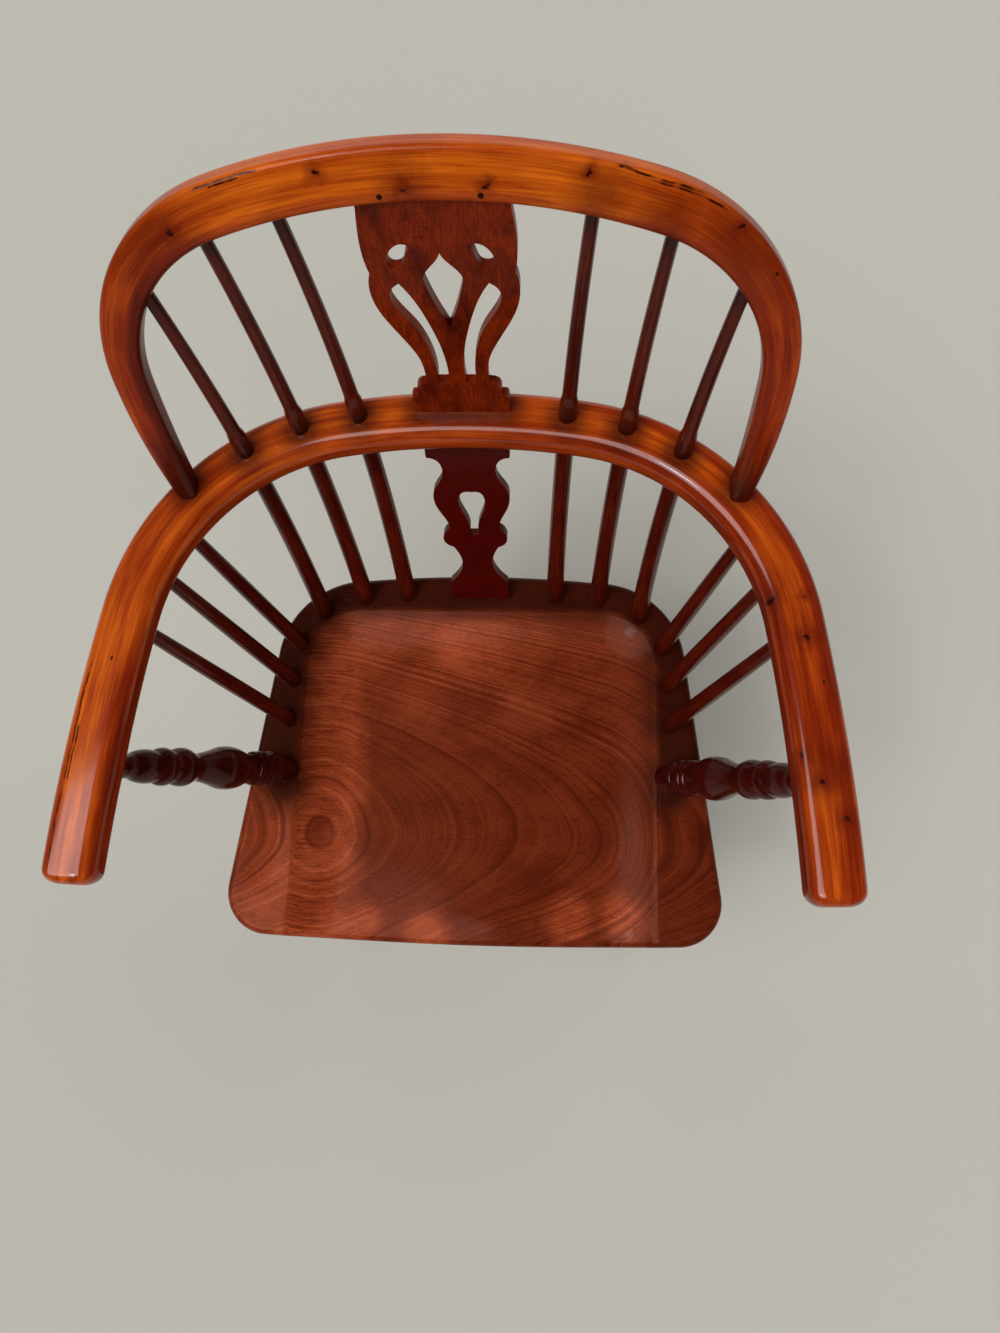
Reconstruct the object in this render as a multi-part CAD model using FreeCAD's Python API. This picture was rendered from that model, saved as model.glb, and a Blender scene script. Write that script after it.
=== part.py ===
import FreeCAD, Part

import math
import os

from FreeCAD import Rotation, Vector

# Low-back wooden armchair: saddled seat, four turned legs with a bent stretcher, a bent arm bow,
# a bent back bow, six long sticks, six short sticks, two turned arm supports and a pierced splat
# above and below the arm. Millimetres, +Z up. The sitter faces -Y, so the sitter's left is +X.
# While the pieces are made Y is measured back from the front edge of the seat. At the end they
# all move so that the origin lies on the floor under the middle of the chair.

# Overall sizes
seat_height = 430.0            # floor to the flat rim of the seat
arm_rise = 256.0               # rim of the seat to the top of the arm bow
back_rake = 25.0               # degrees that the back bow leans back

# Seat, measured corner to corner before the corners are rounded
seat_front_width = 524.0
seat_back_width = 422.0
seat_depth = 396.0
seat_thickness = 38.0
seat_front_bulge = 5.0
seat_back_bulge = 6.0
seat_front_corner = 45.0
seat_back_corner = 95.0
seat_top_round = 5.0
seat_under_round = 14.0

# Saddle of the seat: a round dish with two thigh troughs that run out over the front edge
dish_depth = 12.0
dish_front_margin = 20.0       # flat left in front of the dish and behind it
dish_back_margin = 32.0
trough_depth = 10.0
trough_radius = 400.0
trough_length = 260.0
trough_x = 98.0

# Line of the stick feet on the flat rim of the seat
rim_inset_side = 33.0
rim_inset_back = 22.0
rim_start_y = 200.0            # where the line begins to turn inwards
rim_squareness = 4.6

# Arm bow: middle line of the bent bar, then its section
arm_overhang = 62.0            # of the crown, behind the back edge of the seat
arm_crown_radius = 660.0
arm_shoulder_radius = 209.0
arm_shoulder_half = 283.0
arm_tip_half = 303.0
arm_tip_y = 48.0
arm_side_radius = 1860.0
arm_width = 46.0
arm_thickness = 28.0
arm_tip_round = 17.0
arm_edge_round = 8.0

# Back bow: outer and inner edge in the raked plane, heights above the arm bow
bow_outer_crown = 287.0
bow_outer_crown_radius = 512.0
bow_outer_shoulder_radius = 154.0
bow_outer_half = 261.0
bow_outer_foot = 246.0
bow_outer_side_radius = 490.0
bow_inner_crown = 250.0
bow_inner_crown_radius = 470.0
bow_inner_shoulder_radius = 124.0
bow_inner_half = 235.0
bow_inner_foot = 228.0
bow_inner_side_radius = 1200.0
bow_setback = 14.0             # of its feet, behind the middle line of the arm bow
bow_thickness = 22.0
bow_edge_round = 7.0
bow_tenon_radius = 7.5

# Wedges that spread the tenons of the back bow under the arm bow
wedge_width = 12.0
wedge_length = 16.0
wedge_thickness = 2.4
wedge_tip_thickness = 0.6

# Long sticks, which run from the seat through the arm bow into the back bow
long_foot_share = (0.40, 0.63, 0.85)       # place across, as a share of the half width of the rim
long_arm_share = (0.32, 0.50, 0.665)       # of the arm bow
long_head_share = (0.45, 0.68, 0.905)      # of the inside of the back bow
long_foot_radius = 9.0
long_arm_radius = 8.2
long_swell_height = 20.0       # thick part that stands above the arm bow
long_neck_length = 5.0
long_neck_radius = 6.4
long_head_radius = 4.9
long_head_depth = 14.0         # tenon in the back bow

# Short sticks, which run from the seat into the underside of the arm bow
short_foot_share = (0.795, 0.692, 0.581)   # place along, as a share of the seat depth
short_head_share = (0.927, 0.827, 0.697)   # of the way back to the feet of the back bow
short_foot_radius = 8.0
short_head_radius = 6.0
short_head_depth = 12.0

stick_foot_depth = 22.0        # tenon of every stick in the seat

# Turned arm supports
support_foot_inset = 37.0      # from the side of the seat
support_foot_share = 0.445     # place along, in the same shares as the short sticks
support_head_share = 0.378
support_foot_tenon = 11.0
support_foot_depth = 24.0
support_head_tenon = 9.0
support_head_depth = 14.0

# Legs: place under the seat, then how far the foot stands outwards and backwards of it
leg_inset_side = 79.0
leg_inset_front = 72.0
leg_inset_back = 78.0
front_leg_splay = (37.0, -56.0)
rear_leg_splay = (56.0, 118.0)
leg_tenon_radius = 13.0
leg_tenon_depth = 25.0

# Bent stretcher between the front legs, with two turned spurs to the rear legs
stretcher_height = 165.0
stretcher_radius = 11.0
stretcher_tenon_depth = 14.0
spur_angle = 52.0              # degrees round the bend where a spur leaves it
spur_end_radius = 7.0
spur_middle_radius = 11.0
spur_hoop_depth = 8.0
spur_leg_depth = 14.0

# Splats, one board above the arm bow and one below
splat_thickness = 9.0
upper_splat_half = 55.0
upper_splat_setback = 5.0      # behind the middle line of the arm bow
lower_splat_half = 39.0
tongue_depth = 10.0
tongue_half = 25.0
lower_tongue_half = 22.0
splat_seat_depth = 14.0

# Pins through the front of the back bow into the tongue of the upper splat
pin_radius = 1.5
pin_length = 19.0
pin_x = 33.0
pin_rise = 5.0                 # above the underside of the bow

# Play of a glued joint: round the tenon, and past its end
joint_clearance = 0.1
end_gap = 1.0

# Turnings, from the first end to the last. Each step gives the share of the length where it
# ends, the radius there, and the radius halfway when the step is a bead, a hollow or a belly.
support_steps = (
    (0.0, 13.0, None),
    (0.09, 16.0, 14.2),
    (0.13, 16.0, 18.5),
    (0.165, 14.5, 14.0),
    (0.20, 14.5, 17.8),
    (0.235, 14.5, 17.5),
    (0.26, 14.5, None),
    (0.33, 19.4, 16.6),
    (0.43, 20.0, 21.2),
    (0.55, 13.0, 15.8),
    (0.585, 14.4, 13.0),
    (0.675, 14.6, 18.0),
    (0.69, 14.4, None),
    (0.76, 13.8, 17.4),
    (0.875, 11.4, 15.2),
    (0.92, 11.2, 10.6),
    (1.0, 12.0, None),
)
leg_steps = (
    (0.0, leg_tenon_radius, None),
    (0.16, 17.0, 15.8),
    (0.19, 17.0, 21.0),
    (0.205, 14.0, None),
    (0.235, 14.0, 19.0),
    (0.26, 12.6, None),
    (0.30, 12.6, 12.0),
    (0.44, 20.5, 17.0),
    (0.62, 20.5, 22.0),
    (0.75, 13.0, 15.6),
    (0.765, 13.0, None),
    (0.80, 13.0, 18.6),
    (0.815, 13.6, None),
    (0.845, 13.6, 17.6),
    (0.93, 14.0, 15.8),
    (1.0, 11.6, None),
)
spur_steps = (
    (0.0, spur_end_radius, None),
    (0.12, spur_end_radius, None),
    (0.40, 9.6, 7.8),
    (0.60, 9.6, spur_middle_radius),
    (0.88, spur_end_radius, 7.8),
    (1.0, spur_end_radius, None),
)

# Sides of the upper splat from the arm up: half width and height, as shares of the whole
plinth_side = ((0.76, 0.0), (0.76, 0.078), (0.735, 0.095), (0.65, 0.098), (0.65, 0.12))
plinth_round = ((0.65, 0.12), (0.625, 0.15), (0.55, 0.165))
plinth_top = ((0.55, 0.165), (0.47, 0.168))
upper_side = (
    (0.47, 0.168),
    (0.475, 0.24),
    (0.515, 0.31),
    (0.615, 0.375),
    (0.80, 0.468),
    (0.955, 0.56),
    (1.00, 0.615),
    (0.955, 0.72),
)
upper_side_top = ((0.955, 0.72), (0.99, 0.78), (0.99, 0.87), (0.945, 0.975))
heart_side = ((0.0, 0.472), (0.15, 0.578), (0.265, 0.692))
heart_top = ((0.265, 0.692), (0.165, 0.74), (0.05, 0.775), (0.0, 0.802))
slot_outer = ((0.30, 0.172), (0.335, 0.355), (0.48, 0.465), (0.69, 0.56), (0.75, 0.62), (0.60, 0.674))
slot_inner = ((0.60, 0.674), (0.44, 0.60), (0.30, 0.50), (0.17, 0.365), (0.13, 0.172))
eye_upper = ((0.35, 0.822), (0.49, 0.838), (0.63, 0.814), (0.69, 0.765))
eye_lower = ((0.69, 0.765), (0.62, 0.737), (0.53, 0.742), (0.47, 0.771), (0.35, 0.822))

# Sides of the lower splat from the seat up, in the same shares
lower_foot = ((0.80, 0.0), (0.78, 0.11))
lower_neck = ((0.78, 0.11), (0.50, 0.18), (0.41, 0.23), (0.46, 0.30), (0.60, 0.35))
lower_lug = ((0.60, 0.35), (0.82, 0.385), (0.82, 0.42), (0.62, 0.465))
lower_body = (
    (0.62, 0.465),
    (0.72, 0.525),
    (0.91, 0.60),
    (0.90, 0.69),
    (0.69, 0.755),
    (0.645, 0.80),
    (0.72, 0.842),
    (0.87, 0.86),
)
lower_head = ((0.87, 0.86), (1.0, 0.865))
keyhole_side = ((0.155, 0.425), (0.18, 0.53), (0.325, 0.63), (0.25, 0.67), (0.0, 0.679))

# Values that follow from the sizes above
arm_top = seat_height + arm_rise
arm_underside = arm_top - arm_thickness
arm_middle = arm_top - arm_thickness / 2
seat_underside = seat_height - seat_thickness
arm_crown_y = seat_depth + arm_overhang
bow_foot_x = (bow_outer_foot + bow_inner_foot) / 2
rake_sine = math.sin(math.radians(back_rake))
rake_cosine = math.cos(math.radians(back_rake))
board_skew = splat_thickness   # extra board at an end that is trimmed level
half_turn = 180.0
far = 2000.0                   # longer than the chair, for the half spaces that trim a piece
tiny = 0.001                   # shorter than any real edge
up = Vector(0, 0, 1)


# Points and edges. A flat outline is drawn for one side of its middle line: side is 1 or -1.

def along(start, toward, distance):
    """Point at a distance from start, on the line to another point."""
    return start + (toward - start).normalize() * distance


def past(start, end, distance):
    """Point at a distance past the end of the line from start to end."""
    return end + (end - start).normalize() * distance


def across(point, side):
    return Vector(side * point[0], point[1], 0)


def line(start, end):
    return Part.LineSegment(start, end).toShape()


def polyline(points, side):
    spots = [across(point, side) for point in points]
    return [line(first, second) for first, second in zip(spots, spots[1:])]


def crossbar(half, y):
    """Straight edge across the middle line."""
    return line(Vector(-half, y, 0), Vector(half, y, 0))


def spline(points, side):
    """Smooth edge through points."""
    curve = Part.BSplineCurve()
    curve.interpolate([across(point, side) for point in points])
    return curve.toShape()


def closed(edges):
    return Part.Wire(Part.sortEdges(edges)[0])


class Hoop:
    """Outline of a bent bow: a crown arc, a shoulder arc and a side arc that run into each other."""

    def __init__(self, crown_y, crown_radius, shoulder_radius, half, foot_x, foot_y, side_radius):
        self.crown = Vector(0, crown_y, 0)
        self.half = half
        self.foot = Vector(foot_x, foot_y, 0)
        self.radii = (crown_radius, shoulder_radius, side_radius)
        first = Vector(0, crown_y - crown_radius, 0)
        second_x = half - shoulder_radius
        rise = math.sqrt((crown_radius - shoulder_radius) ** 2 - second_x ** 2)
        second = Vector(second_x, first.y + rise, 0)
        self.centres = (first, second, self.side_centre(second))
        self.first_joint = along(first, second, crown_radius)
        self.second_joint = along(self.centres[2], second, side_radius)

    def side_centre(self, second):
        """Centre of the side arc, which passes the foot and touches the shoulder arc."""
        side_radius = self.radii[2]
        reach = side_radius - self.radii[1]
        span = (self.foot - second).Length
        ahead = (reach ** 2 - side_radius ** 2 + span ** 2) / (2 * span)
        aside = math.sqrt(reach ** 2 - ahead ** 2)
        direction = (self.foot - second).normalize()
        return second + direction * ahead + Vector(direction.y, -direction.x, 0) * aside

    def offset(self, distance):
        """The hoop that runs parallel to this one, further out by the distance."""
        crown_radius, shoulder_radius, side_radius = (radius + distance for radius in self.radii)
        foot = along(self.centres[2], self.foot, side_radius)
        crown_y = self.crown.y + distance
        half = self.half + distance
        return Hoop(crown_y, crown_radius, shoulder_radius, half, foot.x, foot.y, side_radius)

    def y_at(self, x):
        """Place of the crown or shoulder along Y, from a place across."""
        arc = 0 if x <= self.first_joint.x else 1
        centre = self.centres[arc]
        return centre.y + math.sqrt(self.radii[arc] ** 2 - (x - centre.x) ** 2)

    def x_at(self, y):
        """Half width at the shoulder or side, from a place along Y."""
        arc = 1 if y >= self.second_joint.y else 2
        centre = self.centres[arc]
        return centre.x + math.sqrt(self.radii[arc] ** 2 - (y - centre.y) ** 2)

    def tail_end(self, tail):
        """End of a straight tail that carries the side arc on past the foot."""
        radial = (self.foot - self.centres[2]).normalize()
        return self.foot + Vector(radial.y, -radial.x, 0) * tail

    def half_edges(self, side, tail):
        """Edges of one half, from the crown to the end of the tail."""
        spots = (self.crown, self.first_joint, self.second_joint, self.foot)
        edges = []
        for centre, radius, start, end in zip(self.centres, self.radii, spots, spots[1:]):
            middle = along(centre, (start + end) * 0.5, radius)
            arc = Part.Arc(across(start, side), across(middle, side), across(end, side))
            edges.append(arc.toShape())
        if tail > 0:
            edges.append(line(across(self.foot, side), across(self.tail_end(tail), side)))
        return edges


def hoop_board(outer, inner, thickness, tail):
    """Flat bow between two hoops, lying on the XY plane."""
    edges = []
    for side in (-1, 1):
        edges += outer.half_edges(side, tail) + inner.half_edges(side, tail)
        edges.append(line(across(outer.tail_end(tail), side), across(inner.tail_end(tail), side)))
    return Part.Face(closed(edges)).extrude(Vector(0, 0, thickness))


def level_edges(shape, height):
    """Edges that lie level at a height."""
    found = []
    for edge in shape.Edges:
        box = edge.BoundBox
        if box.ZLength < tiny and abs(box.ZMin - height) < tiny:
            found.append(edge)
    return found


def upright_edges(shape, low_y, high_y):
    """Edges that stand on the XY plane, between two places along Y."""
    found = []
    for edge in shape.Edges:
        box = edge.BoundBox
        upright = box.ZLength > tiny and box.XLength < tiny and box.YLength < tiny
        if upright and low_y <= box.YMin <= high_y:
            found.append(edge)
    return found


def aimed(shape, start, end):
    """Turn a shape made along +Z so that it runs from start towards end."""
    shape.Placement = FreeCAD.Placement(start, Rotation(up, end - start)).multiply(shape.Placement)
    return shape


def rod(start, end, radius):
    return aimed(Part.makeCylinder(radius, (end - start).Length), start, end)


def taper(start, end, start_radius, end_radius):
    """Round bar between two points. Its radius changes steadily."""
    return aimed(Part.makeCone(start_radius, end_radius, (end - start).Length), start, end)


def turned(start, end, steps, overrun, grow=0.0):
    """Lathe-turned piece between two points. It runs on past both for the overrun."""
    length = (end - start).Length
    edges = []
    for (share, radius, _), (next_share, next_radius, middle) in zip(steps, steps[1:]):
        here = Vector(radius + grow, share * length, 0)
        there = Vector(next_radius + grow, next_share * length, 0)
        if middle is None:
            edges.append(line(here, there))
        else:
            halfway = Vector(middle + grow, (share + next_share) / 2 * length, 0)
            edges.append(Part.Arc(here, halfway, there).toShape())
    first_radius = steps[0][1] + grow
    last_radius = steps[-1][1] + grow
    top = length + overrun
    corners = [
        Vector(last_radius, length, 0),
        Vector(last_radius, top, 0),
        Vector(0, top, 0),
        Vector(0, -overrun, 0),
        Vector(first_radius, -overrun, 0),
        Vector(first_radius, 0, 0),
    ]
    for first, second in zip(corners, corners[1:]):
        if (second - first).Length > tiny:
            edges.append(line(first, second))
    body = Part.Face(closed(edges)).revolve(Vector(0, 0, 0), Vector(0, 1, 0), 2 * half_turn)
    body.rotate(Vector(0, 0, 0), Vector(1, 0, 0), half_turn / 2)
    return aimed(body, start, end)


def slab(low, high):
    """Everything between two heights."""
    return Part.makeBox(2 * far, 2 * far, high - low, Vector(-far, -far, low))


# Where the pieces stand

arm_line = Hoop(
    arm_crown_y, arm_crown_radius, arm_shoulder_radius,
    arm_shoulder_half, arm_tip_half, arm_tip_y, arm_side_radius,
)
bow_outer = Hoop(
    bow_outer_crown, bow_outer_crown_radius, bow_outer_shoulder_radius,
    bow_outer_half, bow_outer_foot, 0.0, bow_outer_side_radius,
)
bow_inner = Hoop(
    bow_inner_crown, bow_inner_crown_radius, bow_inner_shoulder_radius,
    bow_inner_half, bow_inner_foot, 0.0, bow_inner_side_radius,
)
bow_foot_y = arm_line.y_at(bow_foot_x) + bow_setback
bow_rearmost = (
    bow_foot_y
    + (bow_outer_crown - bow_edge_round) * rake_sine
    + (bow_thickness / 2 - bow_edge_round) * rake_cosine
    + bow_edge_round
)
chair_middle_y = bow_rearmost / 2


def seat_half_at(y):
    """Half width of the seat between its straight sides."""
    return (seat_front_width + (seat_back_width - seat_front_width) * y / seat_depth) / 2


rim_half = seat_half_at(rim_start_y) - rim_inset_side
rim_reach = seat_depth - rim_inset_back - rim_start_y


def rim_y_at(x):
    """Place along the seat of a stick foot on the rim, from its place across."""
    return rim_start_y + rim_reach * (1 - (x / rim_half) ** rim_squareness) ** (1 / rim_squareness)


def rim_x_at(y):
    """Place across the seat of a stick foot on the rim, from its place along."""
    rise = max(y - rim_start_y, 0) / rim_reach
    return rim_half * (1 - rise ** rim_squareness) ** (1 / rim_squareness)


def in_bow(x, height, forward=0.0):
    """Point in the raked middle plane of the back bow."""
    y = bow_foot_y + height * rake_sine - forward * rake_cosine
    z = arm_top + height * rake_cosine + forward * rake_sine
    return Vector(x, y, z)


def long_stick_points(side, row):
    """Foot on the seat, crossing in the arm bow and end in the back bow of a long stick."""
    foot_x = long_foot_share[row] * rim_half
    foot = Vector(side * foot_x, rim_y_at(foot_x), seat_height)
    arm_x = long_arm_share[row] * arm_shoulder_half
    crossing = Vector(side * arm_x, arm_line.y_at(arm_x), arm_middle)
    head_x = long_head_share[row] * bow_inner_half
    entry = in_bow(side * head_x, bow_inner.y_at(head_x))
    return foot, crossing, past(crossing, entry, long_head_depth)


def short_stick_points(side, row):
    """Foot on the seat and end in the arm bow of a short stick."""
    foot_y = short_foot_share[row] * seat_depth
    foot = Vector(side * rim_x_at(foot_y), foot_y, seat_height)
    head_y = short_head_share[row] * bow_foot_y
    head = Vector(side * arm_line.x_at(head_y), head_y, arm_underside + short_head_depth)
    return foot, head


def support_points(side):
    """Where a turned arm support stands on the seat and meets the arm bow."""
    foot_y = support_foot_share * seat_depth
    foot_x = seat_half_at(foot_y) - support_foot_inset
    head_y = support_head_share * bow_foot_y
    foot = Vector(side * foot_x, foot_y, seat_height)
    head = Vector(side * arm_line.x_at(head_y), head_y, arm_underside)
    return foot, head


def leg_points(side, end):
    """Where a leg meets the underside of the seat and the floor."""
    top_y = leg_inset_front if end == "front" else seat_depth - leg_inset_back
    outwards, backwards = front_leg_splay if end == "front" else rear_leg_splay
    top_x = seat_half_at(top_y) - leg_inset_side
    top = Vector(side * top_x, top_y, seat_underside)
    foot = Vector(side * (top_x + outwards), top_y + backwards, 0)
    return top, foot


def leg_at(side, end, height):
    """Point on the middle line of a leg."""
    top, foot = leg_points(side, end)
    return foot + (top - foot) * (height / seat_underside)


def turned_radius(steps, share):
    """Largest radius of the step of a turning that covers a share of its length."""
    for next_share, radius, middle in steps:
        if share <= next_share:
            return radius if middle is None else max(radius, middle)


leg_joint_radius = turned_radius(leg_steps, 1 - stretcher_height / seat_underside)
front_joint = leg_at(1, "front", stretcher_height)
hoop_radius = front_joint.x
hoop_middle = Vector(0, front_joint.y + leg_joint_radius - stretcher_tenon_depth, stretcher_height)


def spur_points(side):
    """Ends of a spur: one inside the bent stretcher, one inside the rear leg."""
    angle = math.radians(spur_angle)
    bend = hoop_middle + Vector(side * math.cos(angle), math.sin(angle), 0) * hoop_radius
    joint = leg_at(side, "rear", stretcher_height)
    start = along(bend, joint, stretcher_radius - spur_hoop_depth)
    end = along(joint, bend, leg_joint_radius - spur_leg_depth)
    return start, end


# Sticks, turnings and stretchers. grow makes the cutter of a socket from the piece itself.

def past_end(grow):
    """How far the cutter of a socket runs past the end of the piece."""
    return end_gap if grow > 0 else 0.0


def long_stick(side, row, grow=0.0):
    foot, crossing, head = long_stick_points(side, row)
    bottom = past(crossing, foot, stick_foot_depth + past_end(grow))
    tip = past(crossing, head, past_end(grow))
    swell_rise = arm_thickness / 2 + long_swell_height
    swell_end = swell_rise * (head - crossing).Length / (head.z - crossing.z)
    swell = along(crossing, head, swell_end)
    neck = along(crossing, head, swell_end + long_neck_length)
    below = taper(bottom, crossing, long_foot_radius + grow, long_arm_radius + grow)
    knuckle = Part.makeSphere(long_arm_radius + grow, crossing)
    swollen = rod(crossing, swell, long_arm_radius + grow)
    shoulder = taper(swell, neck, long_arm_radius + grow, long_neck_radius + grow)
    shaft = taper(neck, tip, long_neck_radius + grow, long_head_radius + grow)
    return below.fuse([knuckle, swollen, shoulder, shaft]).removeSplitter()


def short_stick(side, row, grow=0.0):
    foot, head = short_stick_points(side, row)
    bottom = past(head, foot, stick_foot_depth + past_end(grow))
    tip = past(foot, head, past_end(grow))
    return taper(bottom, tip, short_foot_radius + grow, short_head_radius + grow)


def stick_sockets(side):
    """Cutters for every stick of one side."""
    cutters = [long_stick(side, row, joint_clearance) for row in range(len(long_foot_share))]
    return cutters + [short_stick(side, row, joint_clearance) for row in range(len(short_foot_share))]


def support_foot(side, grow=0.0):
    """Tenon of an arm support in the seat. It starts inside the support."""
    foot, head = support_points(side)
    start = along(foot, head, support_foot_tenon)
    end = past(head, foot, support_foot_depth + past_end(grow))
    return rod(start, end, support_foot_tenon + grow)


def support_head(side, grow=0.0):
    """Tenon of an arm support in the arm bow. It starts inside the support."""
    foot, head = support_points(side)
    start = along(head, foot, support_head_tenon)
    end = past(foot, head, support_head_depth + past_end(grow))
    return rod(start, end, support_head_tenon + grow)


def arm_support(side):
    foot, head = support_points(side)
    body = turned(foot, head, support_steps, support_foot_tenon)
    body = body.common(slab(seat_height, arm_underside))
    return body.fuse(support_foot(side)).fuse(support_head(side)).removeSplitter()


def leg_tenon(side, end, grow=0.0):
    """Tenon of a leg in the seat. It starts inside the leg."""
    top, foot = leg_points(side, end)
    tip = past(foot, top, leg_tenon_depth + past_end(grow))
    return rod(along(top, foot, leg_tenon_radius), tip, leg_tenon_radius + grow)


def leg(side, end):
    top, foot = leg_points(side, end)
    body = turned(top, foot, leg_steps, leg_tenon_radius).common(slab(0, seat_underside))
    body = body.fuse(leg_tenon(side, end)).removeSplitter()
    socket = stretcher_hoop(joint_clearance) if end == "front" else spur(side, joint_clearance)
    return body.cut(socket)


def stretcher_hoop(grow=0.0):
    """Half a ring that opens to the front. Its ends stop inside the front legs."""
    radius = stretcher_radius + grow
    ring = Part.makeTorus(hoop_radius, radius, hoop_middle, up, -half_turn, half_turn, half_turn)
    if grow > 0:
        for side in (-1, 1):
            end = hoop_middle + Vector(side * hoop_radius, 0, 0)
            ring = ring.fuse(rod(end, end - Vector(0, end_gap, 0), radius))
    return ring


def bent_stretcher():
    return stretcher_hoop().cut([spur(side, joint_clearance) for side in (-1, 1)])


def spur(side, grow=0.0):
    start, end = spur_points(side)
    return turned(start, end, spur_steps, past_end(grow), grow)


# Splats

def lean_frame(low, high):
    """Placement of a flat board made on the XY plane: its Y runs from low to high."""
    lean = math.degrees(math.atan2(high.y - low.y, high.z - low.z))
    return FreeCAD.Placement(low, Rotation(Vector(1, 0, 0), half_turn / 2 - lean))


upper_base = Vector(0, arm_crown_y + upper_splat_setback, arm_top)
upper_top = in_bow(0, bow_inner_crown)
upper_frame = lean_frame(upper_base, upper_top)
upper_height = (upper_top - upper_base).Length
lower_base = Vector(0, rim_y_at(0), seat_height)
lower_top = Vector(0, arm_crown_y, arm_underside)
lower_frame = lean_frame(lower_base, lower_top)
lower_height = (lower_top - lower_base).Length


def scaled(shares, half, height):
    """Points of a splat from shares of its half width and its height."""
    return [(x * half, y * height) for x, y in shares]


def upper_points(shares):
    return scaled(shares, upper_splat_half, upper_height)


def lower_points(shares):
    return scaled(shares, lower_splat_half, lower_height)


def pierced_board(outline, openings, placement):
    face = Part.Face(outline)
    for opening in openings:
        face = face.cut(Part.Face(opening))
    board = face.extrude(Vector(0, 0, splat_thickness))
    board.translate(Vector(0, 0, -splat_thickness / 2))
    board.Placement = placement.multiply(board.Placement)
    return board


def board_strip(half, low, high, placement, grow):
    """Straight strip of a splat board: a tongue, or the cutter of its groove."""
    thickness = splat_thickness + 2 * grow
    corner = Vector(-half - grow, low, -thickness / 2)
    strip = Part.makeBox(2 * (half + grow), high - low, thickness, corner)
    strip.Placement = placement.multiply(strip.Placement)
    return strip


def upper_head(grow=0.0):
    """Top of the upper splat, which runs up into the groove of the back bow."""
    half = upper_splat_half * upper_side_top[-1][0]
    high = upper_height + tongue_depth + past_end(grow)
    return board_strip(half, upper_height - board_skew / 2, high, upper_frame, grow)


def upper_tongue(grow=0.0):
    """Tongue of the upper splat in the top of the arm bow."""
    return board_strip(tongue_half, -tongue_depth - past_end(grow), board_skew, upper_frame, grow)


def lower_tongue(grow=0.0):
    """Tongue of the lower splat in the underside of the arm bow."""
    high = lower_height + tongue_depth + past_end(grow)
    return board_strip(lower_tongue_half, lower_height - board_skew, high, lower_frame, grow)


def lower_foot_tongue(grow=0.0):
    """Tongue of the lower splat in the seat."""
    low = -splat_seat_depth - past_end(grow)
    return board_strip(lower_tongue_half, low, board_skew, lower_frame, grow)


def upper_outline():
    """Steps of the plinth, curved sides and a straight top."""
    plinth = upper_points(plinth_side)
    curves = [upper_points(shares) for shares in (plinth_round, upper_side, upper_side_top)]
    base_x = plinth[0][0]
    top_x, top_y = upper_points(upper_side_top)[-1]
    edges = [crossbar(base_x, -board_skew), crossbar(top_x, upper_height)]
    for side in (-1, 1):
        edges += polyline([(base_x, -board_skew)] + plinth, side)
        edges += polyline(upper_points(plinth_top), side)
        edges += [spline(curve, side) for curve in curves]
        edges += polyline([(top_x, top_y), (top_x, upper_height)], side)
    return closed(edges)


def upper_openings():
    """Heart on the middle line, then a slot and an eye on each side of it."""
    heart = []
    openings = []
    for side in (-1, 1):
        heart += [spline(upper_points(shares), side) for shares in (heart_side, heart_top)]
        slot = [spline(upper_points(shares), side) for shares in (slot_outer, slot_inner)]
        slot += polyline(upper_points((slot_inner[-1], slot_outer[0])), side)
        eye = [spline(upper_points(shares), side) for shares in (eye_upper, eye_lower)]
        openings += [closed(slot), closed(eye)]
    return openings + [closed(heart)]


def upper_splat():
    board = pierced_board(upper_outline(), upper_openings(), upper_frame)
    board = board.common(slab(arm_top, far))
    board = board.fuse([upper_tongue(), upper_head()]).removeSplitter()
    return board.cut([splat_pin(side, joint_clearance) for side in (-1, 1)])


def lower_outline():
    """Straight foot, waist, lug and round body, then a tab under the arm bow."""
    foot = lower_points(lower_foot)
    head = lower_points(lower_head)
    foot_x = foot[0][0]
    head_x = head[-1][0]
    top_y = lower_height + board_skew
    edges = [crossbar(foot_x, -board_skew), crossbar(head_x, top_y)]
    for side in (-1, 1):
        edges += polyline([(foot_x, -board_skew)] + foot, side)
        edges += [spline(lower_points(shares), side) for shares in (lower_neck, lower_lug, lower_body)]
        edges += polyline(head + [(head_x, top_y)], side)
    return closed(edges)


def keyhole():
    points = lower_points(keyhole_side)
    edges = [spline(points, side) for side in (-1, 1)]
    return closed(edges + [crossbar(*points[0])])


def lower_splat():
    board = pierced_board(lower_outline(), [keyhole()], lower_frame)
    board = board.common(slab(seat_height, arm_underside))
    return board.fuse([lower_tongue(), lower_foot_tongue()]).removeSplitter()


# Seat and bows

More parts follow.
